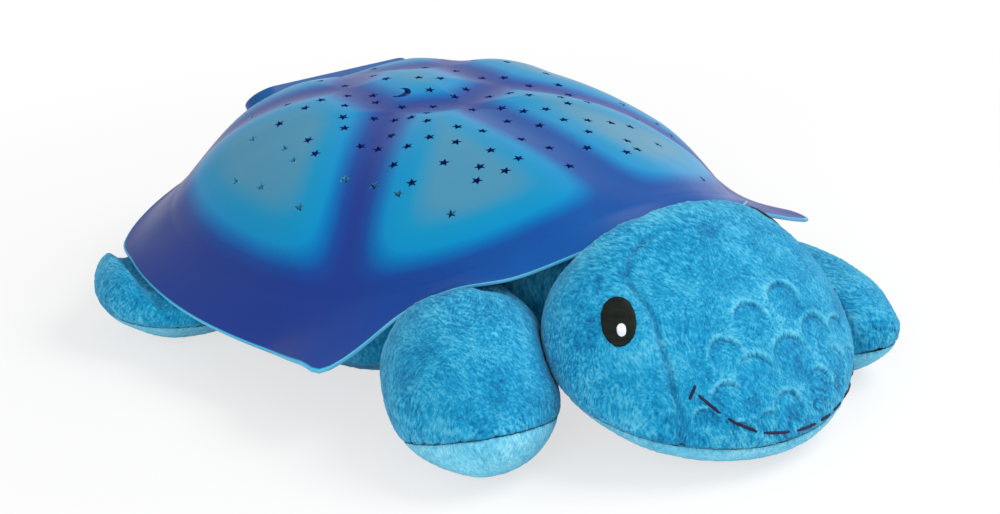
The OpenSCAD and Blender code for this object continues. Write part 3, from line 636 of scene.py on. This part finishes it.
def make_punch(name, outline, reach, x, y):
    """A cutter square to the shell over a plan point, which colours the walls it cuts: painted lamp light high
    up, painted shade lower down.
    """
    here, normal = shell_frame(x, y)
    punch = prism(name, outline, -reach, reach)
    lean = Matrix.Rotation(math.atan2(y, x), 4, "Z") @ Matrix.Rotation(math.acos(min(1, normal.z)), 4, "Y")
    punch.data.transform(Matrix.Translation(here * MM) @ lean)
    # The cut walls get painted lamp light above CROWN_Z and painted shade below it.
    give(punch, lit_hole if points_of(punch)[:, 2].mean() > CROWN_Z * MM else dark_hole)
    return punch


def make_star(x, y, turn):
    tips = [((STAR_INNER_R if k % 2 else STAR_R), radians(turn + 36 * k)) for k in range(10)]
    return make_punch("star", [(r * math.cos(a), r * math.sin(a)) for r, a in tips], STAR_REACH, x, y)


def make_moon():
    """The crescent: a disc less a smaller disc at its side."""
    outer = arc(MOON_R, radians(53), radians(307), 24)
    shift = MOON_R * 0.45
    start = math.atan2(outer[-1][1], outer[-1][0] - shift)
    inner = arc(MOON_R * 0.8, start, -start - 2 * math.pi, 18, shift)[1:-1]
    return make_punch("moon", outer + inner, MOON_REACH, *MOON)


def panel_matrix():
    at = Vector((SHELL_X - PANEL_BACK, 0, PANEL_Z)) * MM
    return Matrix.Translation(at) @ Matrix.Rotation(-PANEL_TILT, 4, "Y")


def make_stadium(name, grow, low, high):
    """A bar with round ends across the shell, larger than the panel by grow."""
    half = (PANEL_W - PANEL_D) / 2
    outline = [(x, half + y) for x, y in arc((PANEL_D + grow) / 2, 0, math.pi, 32)]
    return prism(name, outline + [(-x, -y) for x, y in outline], low, high)


def cylinder(name, radius, low, high, x=0.0, y=0.0, vertices=64):
    ops.mesh.primitive_cylinder_add(vertices=vertices, radius=radius * MM, depth=(high - low) * MM,
                                        location=Vector((x, y, (low + high) / 2)) * MM)
    return settled_in(named(name))


def settled_in(obj):
    """Works the place of an object into its mesh."""
    work_on(obj)
    ops.object.transform_apply(location=True, rotation=True, scale=True)
    return obj


def boolean(obj, tool, operation="DIFFERENCE"):
    modify(obj, "BOOLEAN", operation=operation, solver="MANIFOLD", object=tool)
    apply_all(obj)
    bpy.data.objects.remove(tool)


def make_boss(angle):
    """A tube inside the dome for a screw."""
    a = radians(angle)
    x, y = BOSS_RING_R * math.cos(a), BOSS_RING_R * math.sin(a)
    boss = cylinder("boss", BOSS_R, DECK_TOP, shell_frame(x, y)[0].z - 1.2, SHELL_X + x, y, 40)
    with editing(boss):
        pick(boss, "faces", lambda face: face.normal.z < -0.9)
        ops.mesh.inset(thickness=(BOSS_R - SCREW_BORE_R) * MM)
        ops.mesh.extrude_region_move(TRANSFORM_OT_translate={"value": (0, 0, 12 * MM)})
    return boss


def make_shell():
    skin = make_shell_skin()
    give(skin, shell_paint, shell_bare)
    modify(skin, "SOLIDIFY", thickness=SHELL_WALL * MM, offset=-1, use_even_offset=True,
           vertex_group="wall", material_offset=1, material_offset_rim=1)
    apply_all(skin)
    bevel_sharp(skin, 60, 0.5, 3)
    bosses = join("bosses", [make_boss(angle) for angle in BOSS_ANGLES])
    give(bosses, shell_bare)
    boolean(skin, bosses, "UNION")
    punches = [make_star(x, y, 47 * i % 72) for i, (x, y) in enumerate(STARS)] + [make_moon()]
    opening = make_stadium("opening", 2 * PANEL_FIT, -12, 12)
    opening.data.transform(panel_matrix())
    give(opening, shell_bare)
    boolean(skin, join("punches", punches + [opening]))
    smooth(skin, 32)
    place(skin, "root", "shell_plastic", "shell")


# ---- button panel ----
PANEL_WALL = 1.6
PANEL_SKIN = 2.1
PANEL_LOW = -7.0
FLANGE_T = 1.2
FLANGE_LOW = PANEL_TOP - PANEL_SKIN - 1.25
STEM_LOW = -3.0
# Each button's name, its place along the panel and its colour.
BUTTONS = (("blue", 2, (40, 92, 214)), ("green", 1, (60, 178, 110)), ("amber", 0, (240, 166, 60)))


def make_panel():
    """The raised bar of the buttons, with rounded rims and three wells."""
    bar = make_stadium("button_panel", 0, PANEL_LOW, PANEL_TOP)
    lower = make_stadium("hollow", -2 * PANEL_WALL, PANEL_LOW - 1, PANEL_TOP - PANEL_SKIN)
    with editing(bar, "DESELECT"):
        pick(bar, "edges", lambda edge: all(v.co.z > (PANEL_TOP - 0.01) * MM for v in edge.verts))
        bevel(1.2, 5)
    boolean(bar, lower)
    places = [(i - 1) * BUTTON_PITCH for i in range(3)]
    for y in places:
        boolean(bar, cylinder("well", BUTTON_R + RUN_GAP, PANEL_TOP - 4, PANEL_TOP + 4, y=y))
    for y in places:
        ops.mesh.primitive_torus_add(
            major_radius=(BUTTON_R + 1.3) * MM, minor_radius=0.55 * MM, major_segments=64,
            minor_segments=12, location=(0, y * MM, (PANEL_TOP - 0.05) * MM))
        boolean(bar, settled_in(named("ring")), "UNION")
    bar.data.transform(panel_matrix())
    give(bar, panel_plastic)
    smooth(bar, 30)
    place(bar, "root", "panel_plastic", "button_panel")


def make_button(colour_name, i, colour):
    """A key with a dished top, a round rim and a flange under the panel."""
    name = colour_name + "_button"
    y, top = (i - 1) * BUTTON_PITCH, PANEL_TOP + BUTTON_PROUD
    key = cylinder(name, BUTTON_R, FLANGE_LOW, top, y=y)

    def on_rim(edge):
        return (all(v.co.z > (top - 0.01) * MM for v in edge.verts)
                and min(math.hypot(v.co.x, v.co.y - y * MM) for v in edge.verts) > (BUTTON_R - 0.02) * MM)

    with editing(key):
        pick(key, "faces", lambda face: face.normal.z > 0.9)
        ops.mesh.inset(thickness=1.4 * MM)
        for thickness, dish in ((1.2, 0.35), (1.6, 0.25)):
            ops.mesh.inset(thickness=thickness * MM)
            ops.transform.translate(value=(0, 0, -dish * MM))
        ops.mesh.select_all(action="DESELECT")
        pick(key, "edges", on_rim)
        bevel(0.8, 5)
    boolean(key, cylinder("flange", BUTTON_R + 1.6, FLANGE_LOW, FLANGE_LOW + FLANGE_T, y=y), "UNION")
    boolean(key, cylinder("stem", 2, STEM_LOW, FLANGE_LOW + 0.1, y=y, vertices=32), "UNION")
    key.data.transform(panel_matrix())
    give(key, make_material("key_" + colour_name, moulding, colour, rough=0.3, grain=0.05, coat=0.4))
    smooth(key, 40)
    place(key, name, colour_name + "_key", name)


# ---- stuffed pieces ----
def tilt_matrix(pitch, yaw):
    """Nose down by pitch, then turned by yaw, in degrees."""
    return Matrix.Rotation(radians(yaw), 3, "Z") @ Matrix.Rotation(radians(pitch), 3, "Y")


def body_radius(azimuth):
    a = folded(azimuth)
    mid = (BODY_FRONT_R + 2 * BODY_REAR_R) / 3
    to_side, to_rear = (ease((a - low) / (high - low)) for low, high in WIDEN)
    return BODY_FRONT_R + (mid - BODY_FRONT_R) * to_side + (BODY_REAR_R - mid) * to_rear


def roof(azimuth, r):
    """Height of the shell's underside, with room to spare."""
    q = station(azimuth)
    foot_r, edge_r = FOOT_R + q[..., 2], BRIM_R + q[..., 0]
    brim = brim_height(q, np.clip((r - foot_r) / (edge_r - foot_r), 0, 1))
    z = np.where(r < foot_r, dome_height(q, np.minimum(r / foot_r, 1)), brim)
    return z - 1.4 * SHELL_WALL - ROOF_GAP + ROOF_CLIMB * np.maximum(0, r - edge_r - EDGE_GAP)


# The height over which a form eases into the shell's underside, and the one below which it doesn't.
ROOF_BLEND = 7.0
LOW_DOWN = 12


def polar(q):
    return np.degrees(np.arctan2(q[:, 1], q[:, 0])), np.hypot(q[:, 0], q[:, 1])


def keep_clear(p, spare):
    """Keeps points off the body, under the shell and above the floor."""
    q = p - [SHELL_X, 0, 0]
    azimuth, r = polar(q)
    q[:, :2] *= np.maximum((body_radius(azimuth) + SOFT_GAP + spare) / np.maximum(r, 1e-6), 1)[:, None]
    top = roof(*polar(q)) - spare
    h = np.maximum(0, ROOF_BLEND - np.abs(q[:, 2] - top)) / ROOF_BLEND
    lowered = np.minimum(q[:, 2], top) - h**2 * ROOF_BLEND / 4
    q[:, 2] = np.maximum(np.where(q[:, 2] < LOW_DOWN, q[:, 2], lowered), 0.0)
    return q + [SHELL_X, 0, 0]


class Form:
    """A stuffed form: its centre, half sizes, pitch and yaw, the height, pitch and yaw of its lower
    seam, and how its stuffing lifts the top, spreads the sides and pushes the ends."""

    def __init__(self, centre, half, pitch, yaw, seam, lift=0.0, spread=0.0, push=0.0):
        self.centre = np.array(centre, float) + [SHELL_X, 0, 0]
        self.half = np.array(half, float)
        self.turn = np.array(tilt_matrix(pitch, yaw))
        self.rise = math.hypot(half[0] * math.sin(radians(pitch)), half[2] * math.cos(radians(pitch)))
        self.seam_at = np.array([self.centre[0], self.centre[1], seam[0]])
        self.seam_up = np.array(tilt_matrix(seam[1], seam[2])) @ [0, 0, 1]
        self.lift, self.spread, self.push = lift, spread, push

    def settled(self, v):
        """Once the stuffing has settled: wider low down and higher on top."""
        up = v[..., 2] / self.rise
        return np.stack([v[..., 0] * (1 - self.push * up), v[..., 1] * (1 - self.spread * up),
                         v[..., 2] * np.where(up > 0, 1 + self.lift, 1)], -1)

    def plain(self, v):
        """The inverse of settled."""
        z = v[..., 2] / np.where(v[..., 2] > 0, 1 + self.lift, 1)
        up = z / self.rise
        return np.stack([v[..., 0] / (1 - self.push * up), v[..., 1] / (1 - self.spread * up), z], -1)

    def at(self, lon, lat):
        """The point at a longitude and latitude in degrees."""
        lon, lat = np.radians(lon), np.radians(lat)
        unit = np.stack([np.cos(lon) * np.cos(lat), np.sin(lon) * np.cos(lat), np.sin(lat)], -1)
        return self.placed(unit)

    def placed(self, unit, inset=0.0):
        """Points of the unit sphere on the form, or inside it by an inset."""
        return self.centre + self.settled((unit * (self.half - inset)) @ self.turn.T)

    def unit(self, p):
        """Where points lie on the form's unit sphere."""
        return (self.plain(p - self.centre) @ self.turn) / self.half

    def facing(self, lon, lat):
        """The outward normal there."""
        n = np.cross(self.at(lon + 1, lat) - self.at(lon - 1, lat),
                     self.at(lon, lat + 1) - self.at(lon, lat - 1))
        return Vector(n / norm(n))

    def from_seam(self, p):
        """Distance from the lower seam's plane."""
        return np.abs((p - self.seam_at) @ self.seam_up)


HEAD = Form((146, 0, 38.5), (57, 69, 32), 27, 0, (26, 12, 0), 0.26, 0.045, 0.28)
FLIPPERS = {
    "front_right": Form((109.5, -85.5, 29.4), (50, 36, 27.5), 15, -30, (8, 20, 168), 0.12, 0.10, 0.10),
    "front_left": Form((122.5, 82, 20), (56, 28.3, 26.6), 2, -5, (3, 16, 180), -0.17, -0.18, -0.18),
    "rear_right": Form((-57, -120, 22), (39, 38, 22), 0, 20, (14.5, 0, 0)),
    "rear_left": Form((-57, 120, 22), (39, 38, 22), 0, -20, (14.5, 0, 0))}


def remesh(obj, voxel):
    modify(obj, "REMESH", mode="VOXEL", voxel_size=voxel * MM)
    modify(obj, "SMOOTH", factor=0.5, iterations=4)
    apply_all(obj)


CLOTH = {"quality": 6, "mass": 0.3, "tension_stiffness": 12, "compression_stiffness": 12, "shear_stiffness": 5,
         "bending_stiffness": 0.6, "use_pressure": True, "uniform_pressure_force": 4.0,
         "vertex_group_mass": "held"}
CLOTH_FRAMES = 20


def inflate(obj, pinned, cap):
    """Fills the cover by cloth simulation, and lets no point move further than cap."""
    before = points_of(obj)
    obj.vertex_groups.new(name="held").add([int(i) for i in np.nonzero(pinned)[0]], 1.0, "REPLACE")
    cloth = modify(obj, "CLOTH")
    for key, value in CLOTH.items():
        setattr(cloth.settings, key, value)
    cloth.settings.effector_weights.gravity = 0.0
    cloth.collision_settings.use_collision = False
    for step in range(1, CLOTH_FRAMES + 1):
        bpy.context.scene.frame_set(step)
    apply_all(obj)
    bpy.context.scene.frame_set(1)
    obj.vertex_groups.clear()
    move = points_of(obj) - before
    far = norm(move, axis=1)
    keep = np.where(far > cap * MM, cap * MM / np.maximum(far, 1e-9), 1)
    set_points(obj, before + move * keep[:, None])


def near_line(p, line):
    """Distance of each point from a line of points."""
    found = np.full(len(p), 1e9)
    for a, b in zip(line[:-1], line[1:]):
        ab = b - a
        t = np.clip(((p - a) @ ab) / (ab @ ab), 0, 1)
        found = np.minimum(found, norm(p - a - t[:, None] * ab, axis=1))
    return found


def fine_line(points, steps=14):
    """A smooth curve through (longitude, latitude) points."""
    pts = np.array(points, float)
    padded = np.concatenate([pts[:1], pts, pts[-1:]])
    made = []
    for before, a, b, after in zip(padded, pts, pts[1:], padded[3:]):
        for s in np.linspace(0, 1, steps, endpoint=False):
            h00, h10, h01, h11 = hermite(s)
            made.append(h00 * a + h10 * (b - before) / 2 + h01 * b + h11 * (after - a) / 2)
    return np.array(made + [pts[-1]])


STREAK_WAYS = np.array([[0.25, 0.3, -0.92], [0.45, 0.1, -0.89], [0.8, 0.6, 0.0]])


def comb(obj, height, width, length, seed, calm=1.0):
    """Raises the pile in fine streaks along the surface, and keeps it as a mask, from which the colour gets
    painted light on the crests and painted shade in the hollows.
    """
    weight = read_points(obj, "normal")**4
    weight /= weight.sum(1, keepdims=True)
    p = points_of(obj) / MM
    p += 5.0 * np.array([noise.noise_vector(Vector(x) * 0.045 + Vector((seed, 0, 0))) for x in p])
    total = np.zeros(len(p))
    for k, way in enumerate(STREAK_WAYS):
        way = way / norm(way)
        q = (p - np.outer(p @ way, way) * (1 - width / length)) / width
        used = weight[:, k] > 0.02
        total[used] += weight[used, k] * [noise.noise(Vector(x)) + 0.5 * noise.noise(Vector(x * 2.1))
                                          for x in q[used]]
    total = np.clip(total, -1, 1)
    push_out(obj, total * height * calm)
    set_mask(obj, "pile", 0.5 + 0.5 * np.clip(total * 1.4, -1, 1))
    if "ridge" not in obj.data.attributes:
        set_mask(obj, "ridge", np.full(len(p), 0.5))


def sink(obj, distance, depth, width):
    """A groove along what the distance is measured from; the depth it returns is used as a mask of painted
    shade in the groove.
    """
    fall = np.exp(-(distance / width)**2)
    push_out(obj, -fall * depth)
    return fall


def lumps(obj, height, size, seed):
    """The soft unevenness of a stuffed toy."""
    push_out(obj, height * np.array([noise.noise(Vector(x / MM / size) + Vector((seed, seed, 0)))
                                     for x in points_of(obj)]))


def subdivide(obj, levels):
    modify(obj, "SUBSURF", levels=levels, render_levels=levels)
    apply_all(obj)


def keep_off_head(p, spare):
    """Presses points that would lie in the head against it."""
    unit = HEAD.unit(p)
    reach = norm(unit, axis=1)
    least = 1 + spare / 50
    pressed = HEAD.placed(unit * (least / np.maximum(reach, 1e-6))[:, None])
    return np.where((reach < least)[:, None], pressed, p)


# How near a seam the cloth is held while its cover fills.
HELD_AT_PARTING = 2.2
HELD_AT_SEAM = 2.6


def stuffed(name, form, voxel, inset, cap, levels, seams=()):
    """The whole form, before it is parted at its lower seam."""
    ops.mesh.primitive_uv_sphere_add(segments=72, ring_count=36, radius=1)
    obj = named(name)
    placed = form.placed(points_of(obj), inset)
    if form in (FLIPPERS["front_right"], FLIPPERS["front_left"]):
        placed = keep_off_head(placed, 2 * inset)
    set_points(obj, keep_clear(placed, inset) * MM)
    remesh(obj, voxel)
    p = points_of(obj) / MM
    pinned = form.from_seam(p) < HELD_AT_PARTING
    for line in seams:
        pinned |= near_line(p, line) < HELD_AT_SEAM
    inflate(obj, pinned, cap)
    subdivide(obj, levels)
    return obj


def part_at_seam(obj, form, lower_name):
    """Cuts the form into the cover and the paler piece below its seam."""
    work_on(obj)
    ops.object.duplicate()
    lower = named(lower_name)
    for piece, side in ((obj, 1), (lower, -1)):
        with editing(piece):
            ops.mesh.bisect(plane_co=Vector(form.seam_at) * MM, plane_no=Vector(form.seam_up) * side,
                                use_fill=True, clear_inner=True)
        mend(piece)
    return lower


def finish_soft(piece, slot, node_name):
    piece.data.shade_smooth()
    give(piece, CLOTHS[slot])
    place(piece, "root", slot, node_name)


# The face looks a little to the turtle's left, and leans to that side.
FACE_TURN = 19.0
FACE_LEAN = 8.0
# Sewn lines of the head, as longitude and latitude on its right side, and their mirror.
GUSSET = [(-159, 52), (-139, 46), (-123, 44.5), (-108, 45.5), (-95, 45.5), (-85, 41.5), (-79, 37),
          (-71.5, 29.5), (-65, 18), (-62, 8), (-60, -1), (-59, -14)]
# Scales pressed into the snout: longitude, latitude and half width in millimetres.
SCALES = np.array([
    (-31, 40, 9.6), (-8, 43, 9.6), (-44.5, 30.5, 7.0), (-20.5, 22.5, 7.2), (-22, 61.5, 7.6), (15, 60, 8.0),
    (-30, 16.5, 5.4), (-53.5, 19, 4.4), (-46.5, 17.5, 4.2), (-40, 11.5, 5.2), (-36, 25.5, 5.0),
    (14.5, 42, 8.6), (-2, 26, 7.0), (13, 27, 6.4), (-6, 14, 5.4), (8, 15, 5.0), (-45, 49, 7.0),
    (24, 18, 4.6), (28, 32, 6.4)])
# The way that a scale's crisp rim faces; the rim's painted shade and the ridge's painted highlight are
# strongest on that side.
RIM_WAY = np.array([-0.72, 0.2, 0.66])


def on_face(point, side=-1):
    """The head's longitude and latitude for a point of the face, on its right side or mirrored."""
    lon = -side * point[0]
    return lon + FACE_TURN, point[1] - FACE_LEAN * min(max(lon / 45, -1), 1)


def emboss(obj, p):
    """Presses the scales into the snout, each in a soft ridge and with a crisp upper rim. Returns the painted
    shade for that rim, and keeps the ridges' painted highlight and the hollows' painted shade as a mask."""
    centres, radii = HEAD.at(SCALES[:, 0] + FACE_TURN, SCALES[:, 1]), SCALES[:, 2]
    offset = p[:, None] - centres[None]
    share = norm(offset, axis=2) / radii
    nearest = share.argmin(axis=1)
    rows = np.arange(len(p))
    radius, near = radii[nearest], share[rows, nearest]
    upper = np.clip(offset[rows, nearest] / radius[:, None] @ RIM_WAY * 1.6 + 0.1, 0, 1)
    rim = np.exp(-((near - 0.94) * radius / 0.75)**2) * upper
    ridge = np.exp(-((near - 1.16) / 0.16)**2) * (0.35 + 0.65 * upper)
    hollow = 1 - ease((near - 0.75) / 0.35)
    push_out(obj, 0.6 * ridge - 0.8 * rim - 0.25 * hollow)
    # The ridge mask holds painted highlight on the ridges and painted shade in the hollows.
    set_mask(obj, "ridge", np.clip(0.5 + 0.45 * ridge - 0.08 * hollow, 0, 1))
    return 0.5 * rim


def make_head():
    gussets = [HEAD.at(*np.array([on_face(at, side) for at in fine_line(GUSSET)]).T) for side in (-1, 1)]
    upper = stuffed("plush_head", HEAD, 3.3, 0.2, 2.6, 2, gussets)
    lumps(upper, 0.9, 26, 3.1)
    lower = part_at_seam(upper, HEAD, "head_underside")
    for piece, seed in ((upper, 1.0), (lower, 7.0)):
        p = points_of(piece) / MM
        # This mask paints shade into the grooves of the seams, gussets and scale rims.
        sewn = sink(piece, HEAD.from_seam(p), 0.4, 0.9) * 0.45
        if piece is upper:
            for line in gussets:
                sewn = np.maximum(sewn, sink(piece, near_line(p, line), 1.3, 1.3) * 0.55)
            sewn = np.maximum(sewn, emboss(piece, p))
        set_mask(piece, "sewn", sewn)
        comb(piece, 0.42, 1.0, 3.4, seed)
    finish_soft(upper, "plush", "plush_head")
    finish_soft(lower, "pale_plush", "head_underside")
    return upper


# Rings pressed into the front flippers' covers, as longitude, latitude and radius.
RINGS = {"front_right": [(-22, 4, 6.0), (0, 10, 6.5), (-44, -6, 5.0), (20, 0, 5.5), (-2, 34, 6.0)],
         "front_left": [(10, 4, 6.0), (-12, 12, 6.5), (34, -4, 5.0), (4, 36, 6.0)]}


def make_flipper(side):
    form = FLIPPERS[side]
    upper = stuffed("flipper_" + side, form, 3.4, 0.6, 2.4, 2)
    lumps(upper, 1.0, 20, len(side) * 1.7)
    lower = part_at_seam(upper, form, "sole_" + side)
    for piece, seed, height in ((upper, 2.0, 0.42), (lower, 9.0, 0.25)):
        p = points_of(piece) / MM
        # This mask paints shade into the grooves of the seam and the pressed rings.
        sewn = sink(piece, form.from_seam(p), 0.35, 0.9) * 0.35
        for lon, lat, radius in RINGS.get(side, ()) if piece is upper else ():
            away = np.abs(norm(p - form.at(lon, lat), axis=1) - radius)
            sewn = np.maximum(sewn, sink(piece, away, 0.7, 0.9) * 0.2)
        set_mask(piece, "sewn", sewn)
        comb(piece, height, 1.0, 3.4, seed + len(side))
    finish_soft(upper, "plush", "flipper_" + side)
    finish_soft(lower, "pale_plush", "sole_" + side)


def make_tail():
    seam_z = 20
    tail = stuffed("tail", Form((-127, 0, seam_z), (16, 11, 9), 0, 0, (seam_z, 0, 0)), 2.2, 0.6, 1.2, 1)
    # The mask paints shade into the groove of the tail's seam.
    set_mask(tail, "sewn", sink(tail, np.abs(points_of(tail)[:, 2] / MM - seam_z), 0.8, 1.0))
    comb(tail, 0.3, 1.0, 3.0, 4.0)
    finish_soft(tail, "plush", "tail")


def copy_of_node(name):
    """A new mesh with the shape of a solid, its loose corners merged."""
    made = bpy.data.objects.new(name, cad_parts[name].data.copy())
    bpy.context.scene.collection.objects.link(made)
    mend(made, merge=True)
    made.data.materials.clear()
    return made


# The height of the body's side seam, and the radius that its pile starts from.
SIDE_SEAM_Z = 9
PILE_FROM_R = 90


def make_body():
    """The stuffed ring round the tray, with its side seam."""
    body = copy_of_node("plush_body")
    remesh(body, 4.5)
    p = points_of(body) / MM
    inflate(body, (polar(p - [SHELL_X, 0, 0])[1] < TRAY_R + 3) | (p[:, 2] < 4), 2.0)
    subdivide(body, 1)
    p = points_of(body) / MM
    inner = polar(p - [SHELL_X, 0, 0])[1] < PILE_FROM_R
    # The mask paints shade into the groove of the side seam.
    set_mask(body, "sewn", sink(body, np.abs(p[:, 2] - SIDE_SEAM_Z) + np.where(inner, 20, 0), 1.2, 1.8))
    comb(body, 0.35, 1.6, 5.0, 5.0, calm=np.where(inner, 0.0, 1.0))
    finish_soft(body, "plush", "plush_body")


def make_belly():
    """The belly cloth with a bound rim and a bound window."""
    belly = copy_of_node("belly_panel")
    bevel_sharp(belly, 50, 0.9, 4)
    give(belly, belly_cloth)
    smooth(belly, 40)
    modify(belly, "WEIGHTED_NORMAL")
    apply_all(belly)
    place(belly, "root", "belly_cloth", "belly_panel")


# ---- the face ----
EYE_LON = 103.5
EYE_LAT = 33
EYE_W = 14.0
EYE_H = 21.0
EYE_TILT = 8
# How far out rays start that look for the cover, in metres.
RAY_START = 0.02


def patch_on(name, skin, at, out, up, width, height, thick, rows, seed):
    """An oval of thread that lies on the head's cover."""
    ops.mesh.primitive_grid_add(x_subdivisions=rows, y_subdivisions=rows, size=2)
    patch = named(name)
    side = up.cross(out).normalized()
    # The square grid is drawn into a disc, then into the oval.
    x, y = points_of(patch)[:, :2].T
    made = []
    for u, v in zip(x * np.sqrt(1 - y**2 / 2), y * np.sqrt(1 - x**2 / 2)):
        a, r = math.atan2(v, u), math.hypot(u, v)
        jag = 1 + 0.035 * noise.noise(Vector((math.cos(a) * 9 + seed, math.sin(a) * 9, 0)))
        start = at + (side * (u * width / 2 * jag) + up * (v * height / 2 * jag)) * MM + out * RAY_START
        hit = skin.ray_cast(start, -out)[0] or start - out * RAY_START
        ridge = 0.10 * math.sin(u * 46 + 2 * noise.noise(Vector((u * 3, v * 3, seed))))
        made.append(hit + out * (thick * (1 - 0.75 * r**6) + ridge) * MM)
    set_points(patch, np.array(made))
    modify(patch, "SOLIDIFY", thickness=1.6 * MM, offset=-1)
    subdivide(patch, 1)
    mend(patch)
    smooth(patch, 60)
    return patch


def make_eye(side, skin):
    """An embroidered oval with a small white spark low on its middle."""
    name = "eye_left" if side > 0 else "eye_right"
    lon, lat = on_face((-EYE_LON, EYE_LAT), side)
    at, out = Vector(HEAD.at(lon, lat)) * MM, HEAD.facing(lon, lat)
    up = Matrix.Rotation(radians(-EYE_TILT * side), 3, out) @ (Vector((0, 0, 1)) - out * out.z).normalized()
    eye = patch_on(name, skin, at, out, up, EYE_W, EYE_H, 0.9, 26, side)
    give(eye, eye_black)
    place(eye, "root", "eye_thread", name)
    spark_at = at - up * 4.0 * MM - up.cross(out) * side * 0.8 * MM
    spark = patch_on(name + "_spark", skin, spark_at, out, up, 4.2, 6.0, 1.5, 12, side + 3)
    give(spark, eye_white)
    place(spark, "root", "eye_thread")


# The mouth's stitches on its right side, end to end.
MOUTH = [((-58, 24), (-47.5, 15.1)), ((-46.3, 13.8), (-34.2, 6.9)), ((-33, 6.4), (-21.5, 5)),
         ((-20.3, 4.7), (-9, 3.9)), ((-7.8, 3.9), (-0.7, 4.4)), ((-59, 28), (-60.5, 19.5))]
STITCH_R = 0.62


def stitch(skin, a, b):
    """A strand that rises out of the pile, lies on it and dives back in."""
    ops.mesh.primitive_cylinder_add(vertices=10, radius=1, depth=1)
    strand = named("stitch")
    for cut in (0, -0.3, 0.3, -0.42, 0.42):
        with editing(strand):
            ops.mesh.bisect(plane_co=(0, 0, cut), plane_no=(0, 0, 1))
    line = {}
    made = []
    for x, y, z in points_of(strand):
        s = round(z + 0.5, 3)
        if s not in line:
            lon, lat = a[0] + (b[0] - a[0]) * s, a[1] + (b[1] - a[1]) * s
            at, out = Vector(HEAD.at(lon, lat)) * MM, HEAD.facing(lon, lat)
            hit = skin.ray_cast(at + out * RAY_START, -out)[0] or at
            along = Vector(HEAD.at(*b) - HEAD.at(*a)).normalized()
            lift = 0.15 - 1.3 * abs(2 * s - 1) ** 4
            line[s] = (hit + out * lift * MM, out, along.cross(out).normalized())
        centre, out, across = line[s]
        made.append(centre + (across * x + out * y) * STITCH_R * MM)
    set_points(strand, np.array(made))
    smooth(strand, 60)
    return strand


def make_mouth(skin):
    mouth = join("mouth_stitches", [stitch(skin, *(on_face(end, side) for end in ends))
                                    for ends in MOUTH for side in (-1, 1)])
    give(mouth, mouth_thread)
    place(mouth, "root", "eye_thread")


# ---- floor and light ----
FLOOR_Z = -0.8
FLOOR_GREY = 0.88
WHITE = (1, 1, 1, 1)


def show_to_camera(tree, plain, seen, share=1.0):
    """The plain shader, but the seen one where the camera looks, even by reflection."""
    rays = node(tree, "LightPath").outputs
    straight = math_node(tree, "MAXIMUM", rays["Is Camera Ray"], rays["Is Glossy Ray"])
    looked_at = math_node(tree, "MAXIMUM", straight, rays["Is Transmission Ray"])
    blend = node(tree, "MixShader", {0: math_node(tree, "MULTIPLY", looked_at, share),
                                     1: plain.outputs[0], 2: seen.outputs[0]})
    return blend.outputs[0]


def make_floor():
    ops.mesh.primitive_plane_add(size=6, location=(0, 0, FLOOR_Z * MM))
    floor = named("floor")
    material = bpy.data.materials.new("floor")
    tree = empty_tree(material)
    matt = node(tree, "BsdfDiffuse", {"Color": (*[FLOOR_GREY] * 3, 1)})
    length = node(tree, "VectorMath", {0: object_coordinates(tree)}, operation="LENGTH").outputs["Value"]
    far = node(tree, "MapRange", {"From Min": 0.2, "From Max": 0.42, "To Min": 0.68, "Value": length})
    white = node(tree, "Emission", {"Color": WHITE, "Strength": 1.0})
    node(tree, "OutputMaterial", {"Surface": show_to_camera(tree, matt, white, far.outputs["Result"])})
    give(floor, material)


def area_light(name, at, aim, power):
    ops.object.light_add(type="AREA", location=at)
    light = bpy.context.object
    light.name = name
    light.data.shape = "DISK"
    light.data.size = 0.9
    light.data.energy = power
    light.rotation_euler = (Vector(aim) - Vector(at)).to_track_quat("-Z", "Y").to_euler()


def make_light():
    world = bpy.data.worlds.new("studio")
    bpy.context.scene.world = world
    tree = empty_tree(world)
    sky, backdrop = (node(tree, "Background", {"Color": WHITE, "Strength": power}) for power in (0.52, 1.0))
    node(tree, "OutputWorld", {"Surface": show_to_camera(tree, sky, backdrop)})
    area_light("key", (0.5, 0.65, 1.0), (0, 0, 0.04), 11.5)
    area_light("fill", (0.7, -1.1, 0.5), (0, 0, 0.05), 7.0)


bpy.context.scene.view_settings.view_transform = "Standard"
deselect()
make_camera()
make_light()
make_floor()
make_shell()
make_panel()
for button in BUTTONS:
    make_button(*button)
cover = BVHTree.FromObject(make_head(), bpy.context.evaluated_depsgraph_get())
make_eye(1, cover)
make_eye(-1, cover)
make_mouth(cover)
for flipper in FLIPPERS:
    make_flipper(flipper)
make_tail()
make_body()
make_belly()
